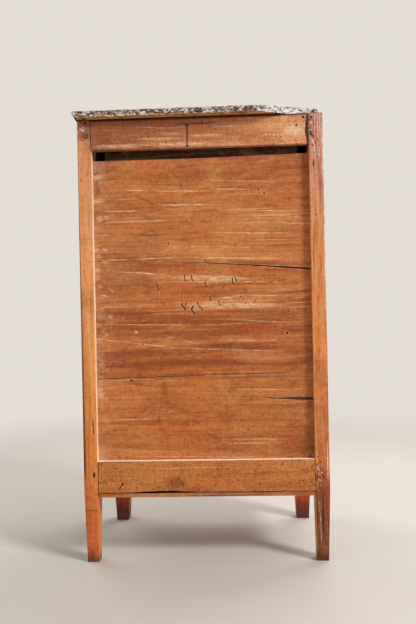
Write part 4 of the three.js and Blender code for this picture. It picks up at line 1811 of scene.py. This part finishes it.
@dataclass
class DropRing:
    """One pull: a turned plate with an eye, and the ring that hangs in it."""

    index: int
    finish: bpy.types.Material
    plate_steps: int = 56
    ring_steps: int = 64
    eye_steps: int = 28
    eye_sides: int = 12
    wire_sides: int = 14
    wire: float = 0.0021
    eye_bore: float = 0.0028
    eye_wall: float = 0.002
    eye_width: float = 1.5
    rim_steps: tuple[Span, ...] = (
        (0.0, 0.0),
        (0.0, 0.0007),
        (0.0008, 0.0014),
        (0.002, 0.0016),
        (0.0028, 0.0011),
        (0.0038, 0.0011),
        (0.0044, 0.0015),
    )
    boss_steps: tuple[Span, ...] = (
        (0.0072, 0.0016),
        (0.0064, 0.0021),
        (0.0056, 0.0027),
        (0.003, 0.0028),
        (0.0, 0.0028),
    )

    def build(self) -> None:
        """Makes the plate and the ring in the places of their nodes."""
        low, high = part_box(f"pull_{self.index}_plate")
        ring_low, ring_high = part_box(f"pull_{self.index}_ring")
        self._plate(low, high, (ring_low[1] + ring_high[1]) / 2)
        self._ring(ring_low, ring_high)

    def _plate(self, low: Corner, high: Corner, eye_y: float) -> None:
        """A round stepped plate, and the eye in front of it.

        Args:
            low: The lowest corner of the plate's node.
            high: Its highest corner.
            eye_y: How far forward the eye reaches.
        """
        radius = (high[0] - low[0]) / 2
        middle = Vector(((high[0] + low[0]) / 2, high[1], (high[2] + low[2]) / 2))
        rim = [(radius - inset, out) for inset, out in self.rim_steps]
        steps = [(0.0, 0.0), *rim, *self.boss_steps]
        mesh = bmesh.new()
        profile = [middle + Vector((reach, -out, 0.0)) for reach, out in steps]
        outline = self._line(mesh, profile)
        self._spun(mesh, outline, middle, Vector((0.0, 1.0, 0.0)), self.plate_steps)
        eye = Vector((middle.x, eye_y, middle.z))
        seat = Matrix.Translation(eye + Vector((0.0, 0.0, self.eye_bore + self.eye_wall / 2)))
        widened = Matrix.Diagonal((self.eye_width, 1.0, 1.0, 1.0))
        turned = seat @ Matrix.Rotation(math.radians(90), 4, "X") @ widened
        loop = bmesh.ops.create_circle(
            mesh, segments=self.eye_sides, radius=self.eye_wall / 2, matrix=turned
        )
        self._spun(mesh, loop["verts"], eye, Vector((1.0, 0.0, 0.0)), self.eye_steps)
        self._place(f"pull_{self.index}_rosette", mesh, f"pull_{self.index}_plate")

    def _ring(self, low: Corner, high: Corner) -> None:
        """The hanging ring, from a round wire.

        Args:
            low: The lowest corner of the ring's node.
            high: Its highest corner.
        """
        middle = Vector([(low[axis] + high[axis]) / 2 for axis in range(3)])
        radius = (high[0] - low[0]) / 2 - self.wire
        mesh = bmesh.new()
        seat = Matrix.Translation(middle + Vector((radius, 0.0, 0.0)))
        loop = bmesh.ops.create_circle(
            mesh, segments=self.wire_sides, radius=self.wire, matrix=seat
        )
        self._spun(mesh, loop["verts"], middle, Vector((0.0, 1.0, 0.0)), self.ring_steps)
        self._place(f"pull_{self.index}_drop_ring", mesh, f"pull_{self.index}_ring")

    @staticmethod
    def _line(mesh: Shape, points: Sequence[Vector]) -> list[bmesh.types.BMVert]:
        """Joins a few points with edges, in their order.

        Args:
            mesh: The mesh that gets them.
            points: The points.

        Returns:
            The new corners.
        """
        verts = [mesh.verts.new(point) for point in points]
        for pair in zip(verts, verts[1:]):
            mesh.edges.new(pair)
        return verts

    @staticmethod
    def _spun(
        mesh: Shape,
        verts: Sequence[bmesh.types.BMVert],
        middle: Vector,
        axis: Vector,
        steps: int,
    ) -> None:
        """Spins a section full round.

        Args:
            mesh: The section's mesh, where the turned shape goes.
            verts: The section's points.
            middle: A point on the axis.
            axis: The axis's direction.
            steps: How many steps make the full turn.
        """
        edges = dict.fromkeys(edge for vert in verts for edge in vert.link_edges)
        bmesh.ops.spin(
            mesh,
            geom=[*verts, *edges],
            cent=middle,
            axis=axis,
            angle=2 * math.pi,
            steps=steps,
            use_merge=True,
        )

    def _place(self, name: str, mesh: Shape, node: str) -> None:
        """Cleans the turned shape and puts it on its body.

        Args:
            name: The piece's name.
            mesh: Its mesh.
            node: The node that it replaces.
        """
        bmesh.ops.remove_doubles(mesh, verts=mesh.verts, dist=1e-6)
        bmesh.ops.recalc_face_normals(mesh, faces=mesh.faces)
        for face in mesh.faces:
            face.smooth = True
        made = piece(name, mesh, self.finish)
        body = f"ring_{self.index}" if node.endswith("ring") else f"drawer_{self.index}"
        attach(made, body)
        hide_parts(node)
        log.info("%s stands for %s", name, node)


@dataclass
class Drawer:
    """One drawer: varnished front, raw sides and bottom, a raw back darkened as painted shade, and
    its pull.
    """

    index: int
    brass: bpy.types.Material
    fronts: bpy.types.Material
    raw: bpy.types.Material
    back: bpy.types.Material
    front_ease: float = 0.0011
    inner_ease: float = 0.0005

    def build(self) -> None:
        """Makes the drawer."""
        body = f"drawer_{self.index}"
        Timber(f"{body}_front", body, self.fronts, ease=self.front_ease).build()
        inner = dict.fromkeys(("side_left", "side_right", "bottom"), self.raw)
        inner["back"] = self.back
        for part, wood in inner.items():
            node = f"{body}_{part}"
            Timber(node, body, wood, slot="inner_wood", ease=self.inner_ease).build()
        DropRing(self.index, self.brass).build()


@dataclass
class Drawers:
    """The four drawers, which share their finishes."""

    count: int = 4
    raw_tones: Stops = (
        (0.0, tint(172, 126, 84)),
        (0.5, tint(190, 144, 98)),
        (1.0, tint(182, 132, 88)),
    )
    # Dark tones that paint shade on the drawer backs, seen through the gap at the rear.
    back_tones: Stops = (
        (0.0, tint(112, 72, 44)),
        (0.5, tint(118, 76, 46)),
        (1.0, tint(96, 60, 38)),
    )

    def build(self) -> None:
        """Makes every drawer."""
        raw = OldWood(
            "raw_drawer_wood",
            Grain.DEEP,
            self.raw_tones,
            seed=23.0,
            worm=0.1,
            scrapes=0.2,
            # Painted shade on the rear faces of drawer sides and bottoms.
            rear_shade=0.8,
        )
        back = OldWood(
            "shaded_back_wood", Grain.LEVEL, self.back_tones, seed=25.0, worm=0.15, scrapes=0.3
        )
        fronts = show_wood("drawer_front_wood", Grain.LEVEL, 27.5).material()
        brass = AgedBrass().material()
        finishes = (brass, fronts, raw.material(), back.material())
        for index in range(1, self.count + 1):
            Drawer(index, *finishes).build()


@dataclass
class MarbleTop:
    """The marble slab: moulded at the front and sides, hewn behind."""

    slices: float = 0.0032
    layers: float = 0.0021
    strips: float = 0.03
    crag: float = 0.0016
    coarse_cells: tuple[float, float, float] = (90.0, 90.0, 160.0)
    fine_cells: tuple[float, float, float] = (310.0, 310.0, 330.0)
    rim: float = 0.0004
    rim_loss: float = 0.0009
    jitter: float = 0.0006
    jitter_within: float = 0.25
    hewn_behind: float = 0.182
    corner_behind: float = 0.126
    corner_slope: float = 0.35
    corner_line: float = 0.212
    undercut: float = 0.006
    undercut_rise: float = 0.0095
    loss: float = 0.0062
    loss_width: float = 0.014
    loss_from: float = 0.06
    loss_grows: float = 0.06

    def build(self) -> None:
        """Makes the slab in the place of its node."""
        mesh = node_shape("marble_top")
        sliced(mesh, 0, self.slices)
        sliced(mesh, 2, self.layers)
        sliced(mesh, 1, self.strips)
        low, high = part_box("marble_top")
        for vertex in mesh.verts:
            if self._hewn(vertex.co):
                vertex.co = self._chipped(vertex.co, low, high)
            rise = (vertex.co.z - low[2]) / self.undercut_rise
            if abs(vertex.co.x) > high[0] - self.undercut and rise < 1.0:
                vertex.co.x -= math.copysign(self.undercut * (1.0 - rise) ** 1.5, vertex.co.x)
            if vertex.co.x < low[0] + self.loss_width:
                share = min(1.0, max(0.0, (vertex.co.y - self.loss_from) / self.loss_grows))
                vertex.co.x += self.loss * share * share * (3.0 - 2.0 * share)
        made = piece("hewn_marble", mesh, Breccia().material())
        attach(made, "carcass")
        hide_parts("marble_top")
        log.info("%s stands for marble_top", made.name)

    def _hewn(self, point: Vector) -> bool:
        """Tells whether a point lies on the rough rear edge or the broken corner.

        Args:
            point: A corner of the mesh.

        Returns:
            Whether the stone is hewn or broken there.
        """
        corner = point.y - self.corner_slope * point.x > self.corner_line
        return point.y > self.hewn_behind or (point.y > self.corner_behind and corner)

    def _chipped(self, point: Vector, low: Corner, high: Corner) -> Vector:
        """Moves a point of the rough edge in by a fractured pattern.

        Args:
            point: A corner of the mesh.
            low: The slab's lowest corner, not used.
            high: The slab's highest corner.

        Returns:
            Its new place.
        """
        coarse = noise.noise(Vector([a * b for a, b in zip(point, self.coarse_cells)]))
        fine = noise.noise(Vector([a * b for a, b in zip(point, self.fine_cells)]))
        bite = self.crag * (0.75 + 0.9 * coarse + 0.5 * fine)
        moved = point.copy()
        moved.y -= max(bite, 0.0)
        if point.z > high[2] - self.rim:
            moved.z -= self.rim_loss * abs(fine)
        if abs(point.x) < self.jitter_within:
            moved.x += self.jitter * fine
        return moved


@dataclass
class Studio:
    """Pale floor, soft light and the camera at the photograph's viewing angle."""

    eye: tuple[float, float, float] = (-0.0586, 1.4012, 0.4351)
    turn: float = 2.29
    roll: float = -1.16
    focal_pixels: float = 607.0
    frame_height: float = 624.0
    sensor: float = 36.0
    principal_drop: float = 35.28
    world_strength: float = 0.36
    background: Rgba = tint(228, 222, 213)
    sky: Rgba = tint(250, 247, 242)
    floor_size: float = 14.0
    floor_cells: int = 8
    lamps: tuple[tuple[str, tuple[float, float, float], float, float], ...] = (
        ("key", (-2.5, 1.9, 2.5), 0.9, 120.0),
        ("fill", (2.2, 2.6, 1.3), 2.4, 22.0),
        ("front_key", (-1.6, -2.4, 2.2), 3.0, 96.0),
        ("front_fill", (2.3, -1.8, 1.6), 2.4, 45.0),
    )
    aim: Vector = field(default_factory=lambda: Vector((0.0, 0.0, 0.48)))

    def build(self) -> None:
        """Makes floor, lamps, world and camera."""
        self._floor()
        self._world()
        for name, spot, size, power in self.lamps:
            self._lamp(name, Vector(spot), size, power)
        self._camera()

    def _floor(self) -> None:
        """A large pale floor."""
        mesh = bmesh.new()
        cells = self.floor_cells
        bmesh.ops.create_grid(mesh, x_segments=cells, y_segments=cells, size=self.floor_size)
        piece("floor", mesh, PaleFloor(self.background).material())

    def _world(self) -> None:
        """An even pale light from all round, behind a plain background."""
        world = bpy.data.worlds.new("pale_world")
        bpy.context.scene.world = world
        g = Graph(world)
        inputs = {"Color": self.sky, "Strength": self.world_strength}
        light = g.node("Background", 0, inputs)
        seen = g.node("Background", 0, {"Color": self.background})
        kinds = ("Camera", "Glossy", "Transmission")
        rays = [g.node("LightPath", f"Is {kind} Ray") for kind in kinds]
        g.end(g.node("MixShader", 0, {0: reduce(Term.highest, rays), 1: light, 2: seen}))

    def _lamp(self, name: str, spot: Vector, size: float, power: float) -> None:
        """One square area lamp, turned to the chest.

        Args:
            name: The lamp's name.
            spot: Where it hangs.
            size: The length of its sides.
            power: Watts.
        """
        lamp = bpy.data.lights.new(name, "AREA")
        lamp.shape = "SQUARE"
        lamp.size = size
        lamp.energy = power
        made = bpy.data.objects.new(name, lamp)
        made.location = spot
        made.rotation_euler = (self.aim - spot).to_track_quat("-Z", "Y").to_euler()
        bpy.context.scene.collection.objects.link(made)

    def _camera(self) -> None:
        """The camera, level, a little turned and rolled, with a small shift."""
        lens = bpy.data.cameras.new("view")
        lens.sensor_width = self.sensor
        lens.lens = self.sensor * self.focal_pixels / self.frame_height
        lens.shift_y = self.principal_drop / self.frame_height
        turn, roll = math.radians(self.turn), math.radians(self.roll)
        ahead = Vector((math.sin(turn), -math.cos(turn), 0.0))
        right = Vector((-math.cos(turn), -math.sin(turn), 0.0))
        up = Vector((0.0, 0.0, 1.0))
        rolled_right = math.cos(roll) * right + math.sin(roll) * up
        rolled_up = -math.sin(roll) * right + math.cos(roll) * up
        columns = Matrix((rolled_right, rolled_up, -ahead)).transposed()
        made = bpy.data.objects.new("view", lens)
        made.matrix_world = Matrix.Translation(Vector(self.eye)) @ columns.to_4x4()
        bpy.context.scene.collection.objects.link(made)
        bpy.context.scene.camera = made


def main() -> None:
    """Builds the chest and its studio."""
    logging.basicConfig(level=logging.INFO, format="%(name)s: %(message)s")
    noise.seed_set(NOISE_SEED)
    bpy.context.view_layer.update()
    bpy.context.scene.view_settings.view_transform = "Standard"
    Studio().build()
    for assembly in (
        BackBoards(),
        BackFrame(),
        Sides(),
        FrontFrame(),
        Runners(),
        Drawers(),
        MarbleTop(),
    ):
        assembly.build()


if __name__ == "__main__":
    main()
